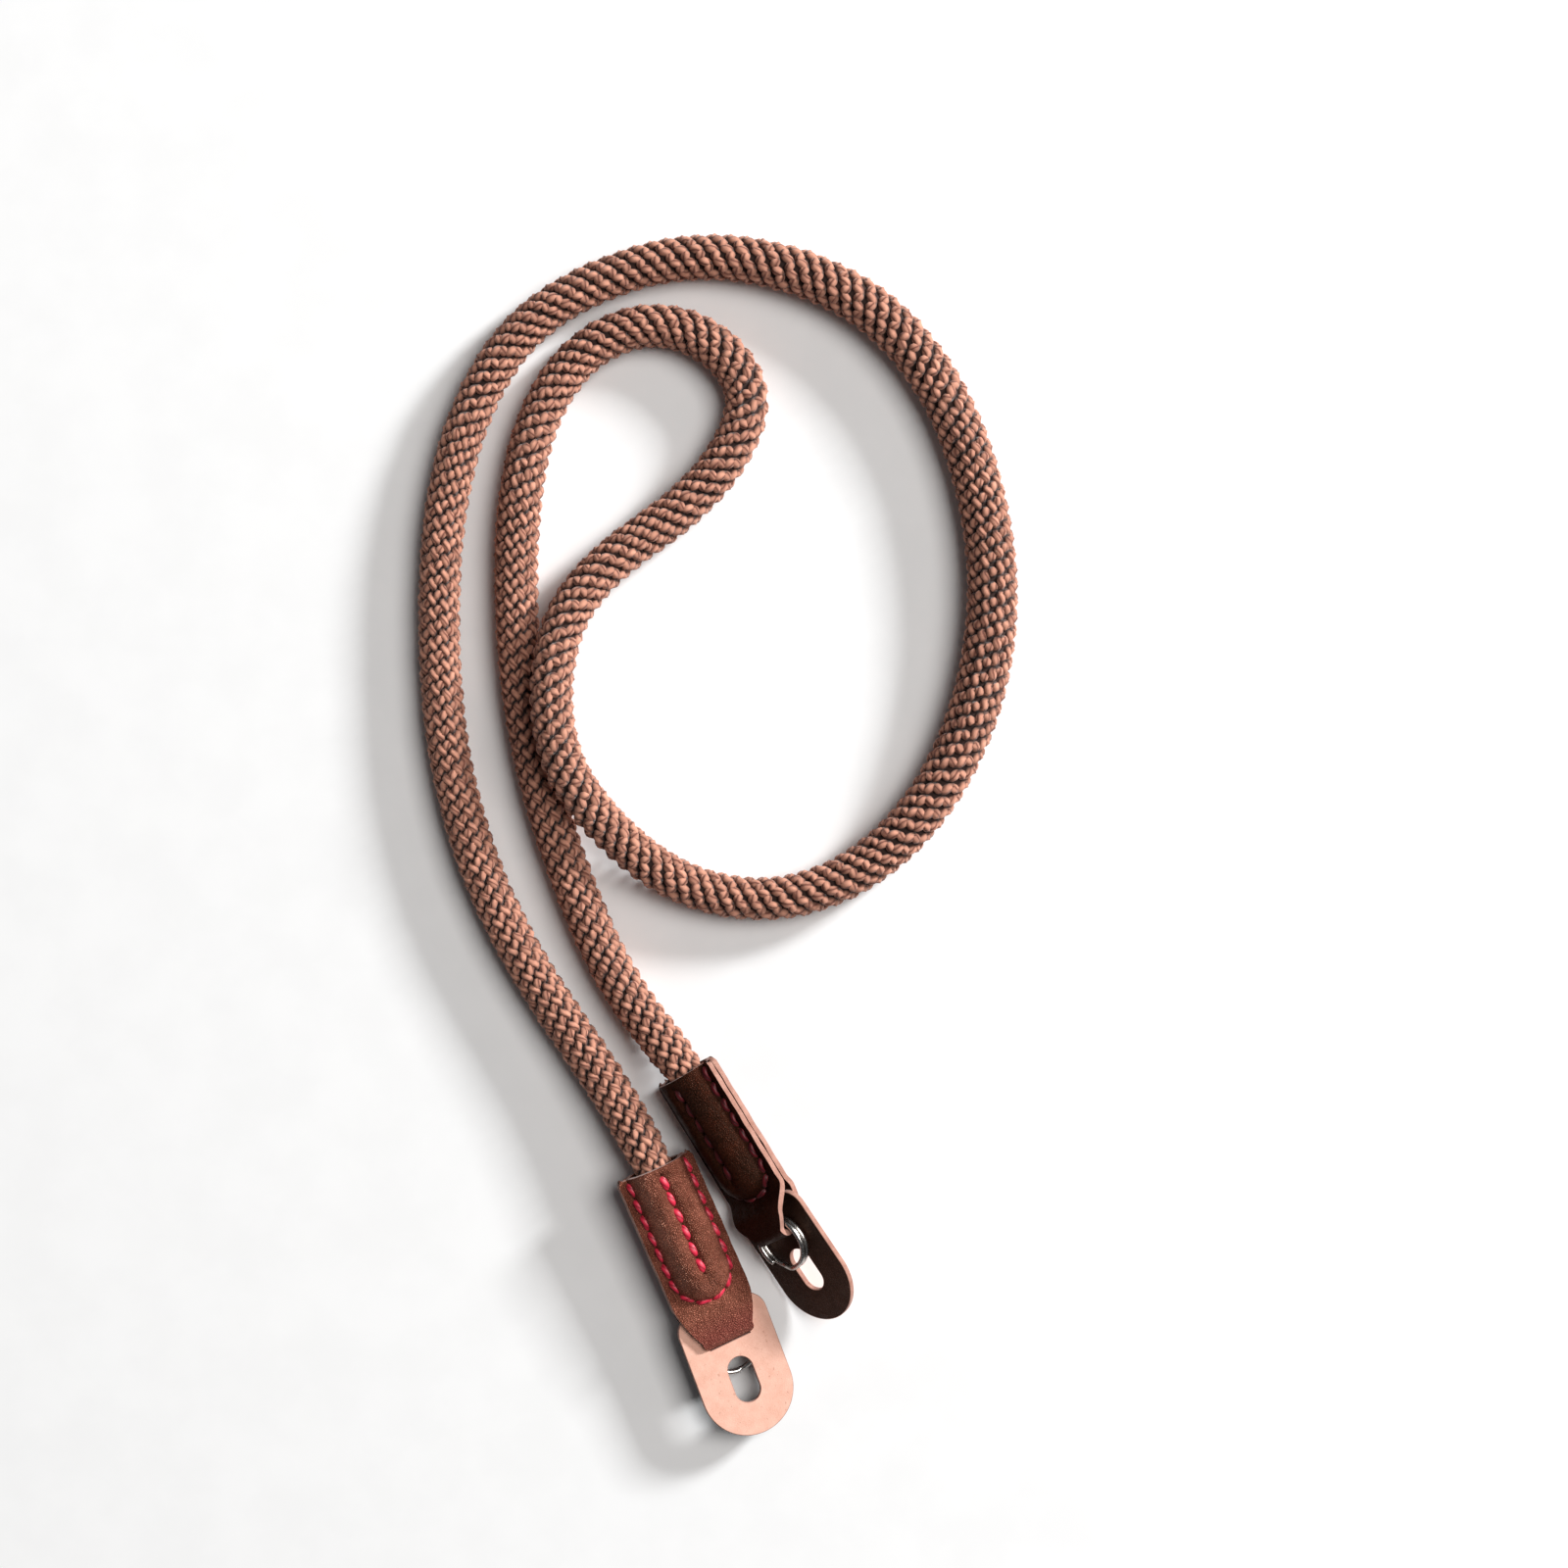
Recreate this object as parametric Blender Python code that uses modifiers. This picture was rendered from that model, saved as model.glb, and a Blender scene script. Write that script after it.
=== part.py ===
"""A camera neck strap of round knitted rope with two folded leather ends, lying on a flat surface.

Each rope end is sewn between the two halves of one leather strip. The strip's narrow middle goes through a
slit in a leather lug guard and holds a split ring on the guard's grain side. Metres, +Z up; the origin is
the middle of the strap's footprint, on the surface that it lies on.
"""
import math

import bmesh
import bpy
import numpy as np
from mathutils import Matrix, Vector

MM = 0.001

# Lay of the strap: how wide and how long the rope's loops are, middle to middle
LAY_WIDTH = 127.0 * MM
LAY_LENGTH = 196.0 * MM

# Rope
ROPE_DIAMETER = 10.6 * MM
ROPE_POINTS = 74
ROPE_BEND_PACE = 30 * MM
ROPE_ROUTE_STEPS = 24
ROPE_ROUTE = [
    # Middle of the rope in percent of LAY_WIDTH and of LAY_LENGTH, then the height of its underside and its
    # girth as shares of ROPE_DIAMETER
    (-16.93, -32.50, 0.160, 0.98),
    (-35.83, -13.62, 0.000, 0.97),
    (-48.43, 9.08, 0.000, 0.96),
    (-50.39, 24.39, 0.000, 0.95),
    (-48.82, 39.44, 0.000, 0.97),
    (-43.70, 50.66, 0.000, 0.97),
    (-34.25, 59.59, 0.000, 0.97),
    (-20.87, 64.95, 0.000, 0.98),
    (-5.91, 67.50, 0.000, 1.02),
    (11.42, 66.48, 0.000, 1.06),
    (27.56, 61.63, 0.000, 1.08),
    (39.76, 52.70, 0.000, 1.08),
    (47.24, 40.46, 0.000, 1.10),
    (49.61, 28.98, 0.000, 1.15),
    (48.03, 18.78, 0.000, 1.17),
    (41.73, 7.55, 0.000, 1.13),
    (29.13, -2.40, 0.000, 1.06),
    (12.99, -7.24, 0.000, 0.99),
    (-5.91, -5.71, 0.113, 0.97),
    (-19.69, 0.92, 0.528, 0.97),
    (-27.56, 8.57, 0.887, 0.98),
    (-29.53, 17.50, 0.906, 0.98),
    (-26.38, 25.92, 0.642, 1.00),
    (-16.93, 33.06, 0.245, 1.00),
    (-6.30, 38.42, 0.038, 1.00),
    (2.36, 45.05, 0.000, 1.00),
    (5.12, 51.68, 0.000, 1.00),
    (-0.79, 57.30, 0.000, 1.01),
    (-12.20, 59.59, 0.000, 1.00),
    (-22.83, 57.04, 0.000, 0.98),
    (-31.10, 50.41, 0.000, 0.98),
    (-35.83, 38.67, 0.000, 1.00),
    (-36.22, 24.39, 0.000, 1.00),
    (-33.07, 9.08, 0.000, 1.00),
    (-26.38, -5.20, 0.000, 0.98),
    (-16.54, -18.47, 0.066, 0.98),
]
ROPE_MOUTH_GIRTH = 0.90
ROPE_MOUTH_TAPER = 7.0 * MM
ROPE_TAIL_TAPER = 4.5 * MM
ROPE_TAIL_EASE = 0.35 * MM
ROPE_TAIL_SHARE = 0.25

# Leather strip that covers each rope end
LEATHER = 1.35 * MM
GAP = 0.3 * MM
SEWN_LENGTH = 33.0 * MM
ROW_CLEARANCE = 2.23 * MM
SEAM_MARGIN = 2.3 * MM
BULGE_EASE = 0.08 * MM
BULGE_FOOT = 0.6 * MM
GROOVE_DEPTH = 1.9 * MM
GROOVE_WIDTH = 2.4 * MM
GROOVE_START = 1.5 * MM
GROOVE_FALL = 3.0 * MM
GROOVE_RISE = 3.5 * MM
GROOVE_OVERRUN = 2.0 * MM
SEAM_LEAD = 1.6 * MM
SEAM_RISE = 2.8 * MM
TONGUE_LENGTH = 10.0 * MM
TONGUE_EASE = 0.9 * MM
TONGUE_FLARE = 3.0 * MM
TONGUE_SHOULDER = 1.8 * MM
TONGUE_TAPER_POWER = 1.4
FOLD_INNER_RADIUS = 0.825 * MM

# Lug guard
GUARD_THICKNESS = 1.3 * MM
GUARD_WIDTH = 21.6 * MM
GUARD_INSET = 0.4 * MM
GUARD_SHOULDER_RADIUS = 4.5 * MM
GUARD_BRIDGE = 3.35 * MM
GUARD_BORDER = 7.6 * MM
SLOT_LENGTH = 10.8 * MM
SLOT_WIDTH = 6.0 * MM
SLIT_EASE = 0.28 * MM
SLIT_CORNER_SHARE = 0.6

# Split ring
RING_OUTER_DIAMETER = 13.8 * MM
RING_WIRE = 1.2 * MM
RING_COIL_GAP = 0.1 * MM
RING_CROSSOVER = math.radians(42)
RING_END_GAP = math.radians(14)
RING_HANG = 1.7 * MM
RING_STEPS = 56

# Placing of the two leather ends: the left cover's mouth, how far the right one lies back from it and beside
# it, heading from -Y towards +X, lean of the +v edge, dip of the tip, and each guard's turn about its slit
LEFT_MOUTH_X = -0.115748 * LAY_WIDTH
LEFT_MOUTH_Y = -0.388265 * LAY_LENGTH
LEFT_LIFT = 1.6 * MM
LEFT_HEADING = math.radians(23.5)
LEFT_LEAN = math.radians(13)
LEFT_DIP = math.radians(2.0)
LEFT_GUARD_TURN = math.radians(3.0)
ENDS_STAGGER = 17.1 * MM
ENDS_OVERLAP = 3.1 * MM
RIGHT_LIFT = 1.5 * MM
RIGHT_HEADING = math.radians(31.5)
RIGHT_LEAN = math.radians(44)
RIGHT_DIP = math.radians(1.0)
RIGHT_GUARD_TURN = math.radians(3.5)
RING_UP, RING_DOWN = 1, -1

# Sizes across the strap that follow from those above
ROW_HALF = ROPE_MOUTH_GIRTH * ROPE_DIAMETER / 2 + ROW_CLEARANCE
COVER_WIDTH = 2 * (ROW_HALF + SEAM_MARGIN)
TONGUE_WIDTH = RING_OUTER_DIAMETER - 2 * RING_WIRE - 2 * TONGUE_EASE
RING_HEIGHT = 2 * RING_WIRE + RING_COIL_GAP
RING_RADIUS = (RING_OUTER_DIAMETER - RING_WIRE) / 2

# Levels above the middle plane of an end
SEAM_INSIDE = GAP / 2
SEAM_LEVEL = SEAM_INSIDE + LEATHER / 2
BULGE_HEIGHT = ROPE_MOUTH_GIRTH * ROPE_DIAMETER / 2 + GAP + BULGE_EASE - SEAM_INSIDE
GUARD_LEVEL = GUARD_THICKNESS / 2 + GAP + LEATHER / 2
RING_LEVEL = GUARD_THICKNESS / 2 + GAP + RING_HEIGHT / 2
TONGUE_LEVEL = GUARD_LEVEL + RING_HEIGHT + GAP
ROPE_TAIL_GIRTH = (SEAM_INSIDE + BULGE_HEIGHT - GROOVE_DEPTH - GAP - ROPE_TAIL_EASE) / (ROPE_DIAMETER / 2)

# Reaches from the cover's mouth towards the guard's tip
ROPE_SEAT = SEWN_LENGTH - ROW_HALF
ROPE_TAIL = ROPE_SEAT + ROPE_TAIL_SHARE * ROW_HALF
SEAM_START = SEWN_LENGTH - SEAM_LEAD
FOLD_RADIUS = FOLD_INNER_RADIUS + LEATHER / 2
FOLD_REACH = SEWN_LENGTH + TONGUE_LENGTH
FOLD_START = FOLD_REACH - FOLD_RADIUS
RING_REACH = FOLD_REACH + RING_HANG
RING_RISE = RING_REACH - RING_OUTER_DIAMETER / 2 - SEAM_START
SLIT_START = FOLD_START + math.sqrt(GAP * (2 * FOLD_INNER_RADIUS - GAP)) - GAP - SLIT_EASE
SLIT_STOP = FOLD_REACH + LEATHER / 2 + GAP + SLIT_EASE
SLOT_START = SLIT_STOP + GUARD_BRIDGE
SLOT_STOP = SLOT_START + SLOT_LENGTH
GUARD_TOP = SEAM_START + SEAM_RISE + GUARD_INSET
GUARD_TIP = SLOT_STOP + GUARD_BORDER


def clear_scene():
    """Removes every object of the open file."""
    for item in list(bpy.data.objects):
        bpy.data.objects.remove(item, do_unlink=True)


def new_collection(name):
    """Makes a collection in the scene."""
    collection = bpy.data.collections.new(name)
    bpy.context.scene.collection.children.link(collection)
    return collection


def new_material(name, colour, roughness, metallic=0.0):
    """Makes a plain Principled material."""
    material = bpy.data.materials.new(name)
    material.use_nodes = True
    shader = material.node_tree.nodes["Principled BSDF"]
    shader.inputs["Base Color"].default_value = (*colour, 1.0)
    shader.inputs["Roughness"].default_value = roughness
    shader.inputs["Metallic"].default_value = metallic
    return material


def smooth(low, high, value):
    """Rises from 0 at low to 1 at high with level ends."""
    share = min(1.0, max(0.0, (value - low) / (high - low)))
    return share * share * (3 - 2 * share)


def spline_through(rows, steps):
    """Samples a natural cubic spline through the rows; the first three columns set its pace."""
    knots = np.array(rows, dtype=float)
    spans = np.linalg.norm(np.diff(knots[:, :3], axis=0), axis=1)
    count = len(knots)
    system, pull = np.zeros((count, count)), np.zeros(knots.shape)
    system[0, 0] = system[-1, -1] = 1.0
    for i in range(1, count - 1):
        before, after = spans[i - 1], spans[i]
        system[i, i - 1:i + 2] = before, 2 * (before + after), after
        pull[i] = 6 * ((knots[i + 1] - knots[i]) / after - (knots[i] - knots[i - 1]) / before)
    bend = np.linalg.solve(system, pull)
    samples = []
    for i, span in enumerate(spans):
        for there in np.linspace(0, span, steps, endpoint=False):
            back = span - there
            samples.append(
                (bend[i] * back**3 + bend[i + 1] * there**3) / (6 * span)
                + (knots[i] / span - bend[i] * span / 6) * back
                + (knots[i + 1] / span - bend[i + 1] * span / 6) * there
            )
    samples.append(knots[-1])
    return np.array(samples)


def end_mouths():
    """The middles of the two covers' mouths, high enough for both ends to clear the surface."""
    along = Vector((math.sin(LEFT_HEADING), -math.cos(LEFT_HEADING), 0.0))
    beside = Vector((math.cos(LEFT_HEADING), math.sin(LEFT_HEADING), 0.0))
    left = Vector((LEFT_MOUTH_X, LEFT_MOUTH_Y, 0.0))
    right = left - ENDS_STAGGER * along + (COVER_WIDTH - ENDS_OVERLAP) * beside
    left.z = SEAM_LEVEL + BULGE_HEIGHT + LEATHER / 2 + LEFT_LIFT
    right.z = GUARD_WIDTH / 2 * math.sin(RIGHT_LEAN) + RIGHT_LIFT
    return left, right


def end_frame(mouth, heading, lean, dip, facing):
    """The placing of a leather end: +X runs from the mouth to the tip, +Y across, +Z out of the ring side."""
    along = Vector((math.sin(heading), -math.cos(heading), 0.0))
    out = Vector((0.0, 0.0, float(facing)))
    across = out.cross(along)
    frame = Matrix((along, across, out)).transposed()
    tilt = Matrix.Rotation(dip * facing, 3, "Y") @ Matrix.Rotation(lean * facing, 3, "X")
    return Matrix.Translation(mouth) @ (frame @ tilt).to_4x4()


def rope_rows(left, right):
    """The rope's route from tail to tail, as rows of x, y, z and radius in metres."""
    def tail(frame, girth):
        radius = girth * ROPE_DIAMETER / 2
        return [(*(frame @ Vector((reach, 0, 0))), radius) for reach in (ROPE_TAIL, 0.0)]

    lay = []
    for across, along, lift, girth in ROPE_ROUTE:
        radius = girth * ROPE_DIAMETER / 2
        height = lift * ROPE_DIAMETER + radius
        lay.append((across / 100 * LAY_WIDTH, along / 100 * LAY_LENGTH, height, radius))
    return tail(left, ROPE_ROUTE[0][3]) + lay + tail(right, ROPE_ROUTE[-1][3])[::-1]


def squeeze(inside):
    """The share of its girth that the rope keeps at a distance inside a cover's mouth."""
    at_mouth = (1 - ROPE_MOUTH_GIRTH) * smooth(-ROPE_MOUTH_TAPER, 0.0, inside)
    in_tail = (ROPE_MOUTH_GIRTH - ROPE_TAIL_GIRTH) * smooth(0.0, ROPE_TAIL_TAPER, inside)
    return 1 - at_mouth - in_tail


def rope_stations(left, right):
    """Points along the rope, closer together where it bends, as columns of x, y, z and radius."""
    path = spline_through(rope_rows(left, right), ROPE_ROUTE_STEPS)
    path[:, 2] = np.maximum(path[:, 2], path[:, 3])
    steps = np.diff(path[:, :3], axis=0)
    lengths = np.linalg.norm(steps, axis=1)
    headings = steps / lengths[:, None]
    turns = np.linalg.norm(np.diff(headings, axis=0, prepend=headings[:1]), axis=1)
    walked = np.concatenate(([0.0], np.cumsum(lengths)))
    pace = np.concatenate(([0.0], np.cumsum(lengths + ROPE_BEND_PACE * turns)))
    stations = list(np.interp(np.linspace(0, pace[-1], ROPE_POINTS), pace, walked))
    for inside in (ROPE_TAIL_TAPER, 0.0, -ROPE_MOUTH_TAPER):
        stations += [ROPE_TAIL - inside, walked[-1] - ROPE_TAIL + inside]
    stations = np.unique(stations)
    columns = [np.interp(stations, walked, path[:, k]) for k in range(4)]
    for i, station in enumerate(stations):
        columns[3][i] *= squeeze(ROPE_TAIL - min(station, walked[-1] - station))
    return columns


def build_rope(left, right, material):
    """The whole rope: one tube that follows the route and thins inside the covers."""
    columns = rope_stations(left, right)
    curve = bpy.data.curves.new("neck_rope", "CURVE")
    curve.dimensions = "3D"
    curve.bevel_depth = ROPE_DIAMETER / 2
    curve.bevel_resolution = 4
    curve.use_fill_caps = True
    spline = curve.splines.new("POLY")
    spline.points.add(len(columns[0]) - 1)
    for point, x, y, z, radius in zip(spline.points, *columns):
        point.co = (x, y, z, 1.0)
        point.radius = radius / (ROPE_DIAMETER / 2)
    rope = bpy.data.objects.new("neck_rope", curve)
    rope.data.materials.append(material)
    return rope


def bulge(reach, across):
    """How far the leather stands off the seam over the rope end, with the groove of the middle row."""
    beyond = max(0.0, reach - ROPE_SEAT)
    share = (across**2 + beyond**2) / (ROW_HALF - BULGE_FOOT) ** 2
    if share >= 1.0:
        return 0.0
    groove = math.exp(-((2 * across / GROOVE_WIDTH) ** 2))
    groove_stop = ROPE_SEAT + GROOVE_OVERRUN
    groove *= smooth(GROOVE_START, GROOVE_START + GROOVE_FALL, reach)
    groove *= 1 - smooth(groove_stop - GROOVE_RISE, groove_stop, reach)
    return BULGE_HEIGHT * (1 - share) ** 0.5 - GROOVE_DEPTH * groove


def seam_level(reach, top):
    """The middle of the leather's thickness above the middle plane, where it lies flat."""
    rise = SEAM_RISE if top == GUARD_LEVEL else RING_RISE
    return SEAM_LEVEL + (top - SEAM_LEVEL) * smooth(SEAM_START, SEAM_START + rise, reach)


def strip_half_width(reach, end_width):
    """Half the strip's width at a reach from the mouth, narrowing to its width at the fold."""
    taper_start = SEWN_LENGTH + TONGUE_SHOULDER
    share = min(1.0, max(0.0, (reach - taper_start) / (FOLD_START - taper_start)))
    return (COVER_WIDTH + (end_width - COVER_WIDTH) * share**TONGUE_TAPER_POWER) / 2


def cover_stations():
    """Rows of the folded strip from the camera side's mouth round the fold to the ring side's mouth.

    Each row is (reach, level, half width, side): side is -1 or +1 on the two halves and 0 in the fold.
    """
    lifted = SEAM_START + RING_RISE
    halves = [ROPE_SEAT * share for share in (0.0, 0.06, 0.12, 0.2, 0.35, 0.54, 0.73, 0.89, 0.98)]
    halves += [ROPE_SEAT + ROW_HALF * share for share in (0.2, 0.45, 0.62, 0.77)]
    halves += [SEAM_START + RING_RISE * share for share in (0.16, 0.33, 0.5, 0.7, 0.9)]
    halves += [lifted + (FOLD_START - lifted) * share for share in (0.22, 0.62)]
    arc = [math.radians(angle) for angle in (0, 22.5, 45, 67.5, 90)]
    flared = TONGUE_WIDTH + TONGUE_FLARE
    rows = [(reach, None, strip_half_width(reach, flared), -1) for reach in halves]
    for angle in arc:
        width = flared - TONGUE_FLARE * smooth(0.0, arc[2], angle)
        level = -GUARD_LEVEL + FOLD_RADIUS * (1 - math.cos(angle))
        rows.append((FOLD_START + FOLD_RADIUS * math.sin(angle), level, width / 2, 0))
    for angle in reversed(arc):
        level = TONGUE_LEVEL - FOLD_RADIUS * (1 - math.cos(angle))
        rows.append((FOLD_START + FOLD_RADIUS * math.sin(angle), level, TONGUE_WIDTH / 2, 0))
    return rows + [(reach, None, strip_half_width(reach, TONGUE_WIDTH), 1) for reach in reversed(halves)]


def build_cover(name, material):
    """The folded leather strip round the rope end and the split ring."""
    shares = [0.12, 0.26, 0.4, 0.55, 0.68, 0.76, 0.87, 1.0]
    columns = [-share for share in reversed(shares)] + [0.0] + shares
    mesh = bpy.data.meshes.new(name)
    sheet = bmesh.new()
    grid = []
    for reach, level, half, side in cover_stations():
        row = []
        for share in columns:
            across = share * half
            height = level
            if side:
                top = TONGUE_LEVEL if side > 0 else GUARD_LEVEL
                height = side * (seam_level(reach, top) + bulge(reach, across))
            row.append(sheet.verts.new((reach, across, height)))
        grid.append(row)
    for row, following in zip(grid, grid[1:]):
        for i in range(len(columns) - 1):
            sheet.faces.new((row[i], following[i], following[i + 1], row[i + 1])).smooth = True
    sheet.to_mesh(mesh)
    sheet.free()
    mesh.materials.append(material)
    cover = bpy.data.objects.new(name, mesh)
    shell = cover.modifiers.new("leather", "SOLIDIFY")
    shell.thickness = LEATHER
    shell.offset = 0.0
    return cover


def arc_points(centre, radius, start, stop, steps):
    """Points of an arc in the plane, ends included."""
    angles = np.linspace(start, stop, steps)
    return [(centre[0] + radius * math.cos(a), centre[1] + radius * math.sin(a)) for a in angles]


def obround(first, last, half_width, steps=9):
    """A slot's outline with round ends, along X between two reaches."""
    quarter = math.pi / 2
    right = arc_points((last - half_width, 0.0), half_width, -quarter, quarter, steps)
    left = arc_points((first + half_width, 0.0), half_width, quarter, 3 * quarter, steps)
    return right + left


def guard_outline():
    """The guard's outer edge: a round tip, straight sides and rounded shoulders."""
    half, quarter = GUARD_WIDTH / 2, math.pi / 2
    corner = GUARD_TOP + GUARD_SHOULDER_RADIUS
    inset = half - GUARD_SHOULDER_RADIUS
    edge = arc_points((GUARD_TIP - half, 0.0), half, -quarter, quarter, 25)
    edge += arc_points((corner, inset), GUARD_SHOULDER_RADIUS, quarter, 2 * quarter, 7)
    edge += arc_points((corner, -inset), GUARD_SHOULDER_RADIUS, 2 * quarter, 3 * quarter, 7)
    return edge


def slit_outline():
    """The slit that the strip goes through: a rounded box across the guard."""
    half_width = (SLIT_STOP - SLIT_START) / 2
    half_length = TONGUE_WIDTH / 2 + GAP + SLIT_EASE
    corner, quarter = half_width * SLIT_CORNER_SHARE, math.pi / 2
    middle = (SLIT_START + SLIT_STOP) / 2
    edge = []
    for turn, (sx, sy) in enumerate(((1, 1), (-1, 1), (-1, -1), (1, -1))):
        centre = (middle + sx * (half_width - corner), sy * (half_length - corner))
        edge += arc_points(centre, corner, turn * quarter, (turn + 1) * quarter, 5)
    return edge


def build_guard(name, turn, material):
    """The flat leather lug guard, with its slit and its slot, turned about the slit."""
    curve = bpy.data.curves.new(name, "CURVE")
    curve.dimensions = "2D"
    curve.fill_mode = "BOTH"
    curve.extrude = GUARD_THICKNESS / 2
    outlines = (guard_outline(), slit_outline(), obround(SLOT_START, SLOT_STOP, SLOT_WIDTH / 2))
    for outline in outlines:
        spline = curve.splines.new("POLY")
        spline.points.add(len(outline) - 1)
        spline.use_cyclic_u = True
        for point, (x, y) in zip(spline.points, outline):
            point.co = (x - FOLD_REACH, y, 0.0, 1.0)
    curve.materials.append(material)
    guard = bpy.data.objects.new(name, curve)
    guard.location = (FOLD_REACH, 0.0, 0.0)
    guard.rotation_euler = (0.0, 0.0, turn)
    return guard


def build_ring(name, material):
    """The split ring: two flat coils of one wire that change level in a short crossover."""
    turns = 4 * math.pi - RING_CROSSOVER - RING_END_GAP
    level = (RING_WIRE + RING_COIL_GAP) / 2
    curve = bpy.data.curves.new(name, "CURVE")
    curve.dimensions = "3D"
    curve.bevel_depth = RING_WIRE / 2
    curve.bevel_resolution = 2
    curve.use_fill_caps = True
    spline = curve.splines.new("POLY")
    spline.points.add(RING_STEPS)
    for i, point in enumerate(spline.points):
        angle = turns * i / RING_STEPS
        height = level * (2 * smooth(2 * math.pi - RING_CROSSOVER, 2 * math.pi, angle) - 1)
        point.co = (RING_RADIUS * math.cos(angle), RING_RADIUS * math.sin(angle), height, 1.0)
    curve.materials.append(material)
    ring = bpy.data.objects.new(name, curve)
    ring.location = (RING_REACH, 0.0, RING_LEVEL)
    return ring


def build_end(side, frame, guard_turn, materials):
    """One leather end: cover, guard and ring, parented to an empty at the cover's mouth."""
    anchor = bpy.data.objects.new(f"{side}_end_frame", None)
    anchor.matrix_world = frame
    pieces = [
        build_cover(f"{side}_end_cover", materials["cover"]),
        build_guard(f"{side}_lug_guard", guard_turn, materials["guard"]),
        build_ring(f"{side}_split_ring", materials["ring"]),
    ]
    for piece in pieces:
        piece.parent = anchor
    return [anchor] + pieces


def build_strap():
    """Builds the whole strap in its own collection."""
    clear_scene()
    strap = new_collection("camera_neck_strap")
    rope_cotton = new_material("rope_cotton", (0.45, 0.20, 0.13), 0.9)
    leather = {
        "cover": new_material("cover_leather", (0.09, 0.035, 0.022), 0.5),
        "guard": new_material("guard_leather", (0.74, 0.42, 0.31), 0.8),
        "ring": new_material("ring_steel", (0.30, 0.28, 0.27), 0.25, 1.0),
    }
    left_mouth, right_mouth = end_mouths()
    left = end_frame(left_mouth, LEFT_HEADING, LEFT_LEAN, LEFT_DIP, RING_DOWN)
    right = end_frame(right_mouth, RIGHT_HEADING, RIGHT_LEAN, RIGHT_DIP, RING_UP)
    pieces = [build_rope(left, right, rope_cotton)]
    pieces += build_end("left", left, LEFT_GUARD_TURN, leather)
    pieces += build_end("right", right, RIGHT_GUARD_TURN, leather)
    for piece in pieces:
        strap.objects.link(piece)
    bpy.context.view_layer.update()


build_strap()
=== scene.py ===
"""Looks of a camera neck strap: a knitted rope with two stitched leather ends, lying on a pale floor.

Metres, +Z up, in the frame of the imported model. Each leather end is built in its own directions: +X from the
cover's mouth to the guard's tip, +Y across, +Z out of the side that the split ring lies on.
"""
import logging
import math
from dataclasses import dataclass, field
from enum import Enum
from typing import Any, Callable, Sequence

import bpy
import numpy as np
from mathutils import Matrix, Vector


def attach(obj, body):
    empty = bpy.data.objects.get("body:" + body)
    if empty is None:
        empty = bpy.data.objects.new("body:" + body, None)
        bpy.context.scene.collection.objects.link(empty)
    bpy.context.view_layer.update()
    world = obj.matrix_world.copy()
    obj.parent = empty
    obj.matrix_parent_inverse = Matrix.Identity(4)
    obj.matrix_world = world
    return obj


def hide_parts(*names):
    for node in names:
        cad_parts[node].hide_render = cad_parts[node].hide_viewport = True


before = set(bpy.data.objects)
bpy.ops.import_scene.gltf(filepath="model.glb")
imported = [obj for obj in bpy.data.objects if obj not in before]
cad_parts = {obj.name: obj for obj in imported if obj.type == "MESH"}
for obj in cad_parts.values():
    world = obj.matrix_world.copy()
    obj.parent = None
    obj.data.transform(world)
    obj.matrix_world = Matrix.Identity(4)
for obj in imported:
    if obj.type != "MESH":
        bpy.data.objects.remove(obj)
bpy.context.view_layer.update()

MM = 0.001
BODY = "root"
LOG = logging.getLogger("neck_strap")
Rgb = tuple[int, int, int]
Pair = tuple[float, float]
Array = np.ndarray
Node = bpy.types.Node
Socket = bpy.types.NodeSocket

# Clearances and thicknesses that the rope, the covers, the guards and the rings share
LEATHER = 1.35 * MM
GAP = 0.3 * MM
GUARD_THICKNESS = 1.3 * MM
RING_OUTER_DIAMETER = 13.8 * MM
RING_WIRE = 1.2 * MM
RING_COIL_GAP = 0.1 * MM
RING_HEIGHT = 2 * RING_WIRE + RING_COIL_GAP
RING_RADIUS = (RING_OUTER_DIAMETER - RING_WIRE) / 2
ROPE_DIAMETER = 10.6 * MM
ROPE_RADIUS = ROPE_DIAMETER / 2
ROPE_MOUTH_GIRTH = 0.90

# Sizes of a leather end, from the cover's mouth towards the guard's tip
SEWN_LENGTH = 33.0 * MM
ROW_HALF = ROPE_MOUTH_GIRTH * ROPE_DIAMETER / 2 + 2.23 * MM
COVER_HALF = ROW_HALF + 2.3 * MM
ROPE_SEAT = SEWN_LENGTH - ROW_HALF
ROPE_TAIL = ROPE_SEAT + 0.25 * ROW_HALF
SEAM_START = SEWN_LENGTH - 1.6 * MM
SEAM_RISE = 2.8 * MM
TONGUE_HALF = RING_OUTER_DIAMETER / 2 - RING_WIRE - 0.9 * MM
TONGUE_FLARE = 1.5 * MM
TONGUE_SHOULDER = 1.8 * MM
FOLD_RADIUS = 0.825 * MM + LEATHER / 2
FOLD_REACH = SEWN_LENGTH + 10.0 * MM
FOLD_START = FOLD_REACH - FOLD_RADIUS
RING_REACH = FOLD_REACH + 1.7 * MM
RING_RISE = RING_REACH - RING_OUTER_DIAMETER / 2 - SEAM_START

# Levels above the middle plane of a leather end
SEAM_INSIDE = GAP / 2
SEAM_LEVEL = SEAM_INSIDE + LEATHER / 2
BULGE_HEIGHT = ROPE_MOUTH_GIRTH * ROPE_DIAMETER / 2 + GAP + 0.08 * MM - SEAM_INSIDE
GUARD_LEVEL = GUARD_THICKNESS / 2 + GAP + LEATHER / 2
RING_LEVEL = GUARD_THICKNESS / 2 + GAP + RING_HEIGHT / 2
TONGUE_LEVEL = GUARD_LEVEL + RING_HEIGHT + GAP


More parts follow.
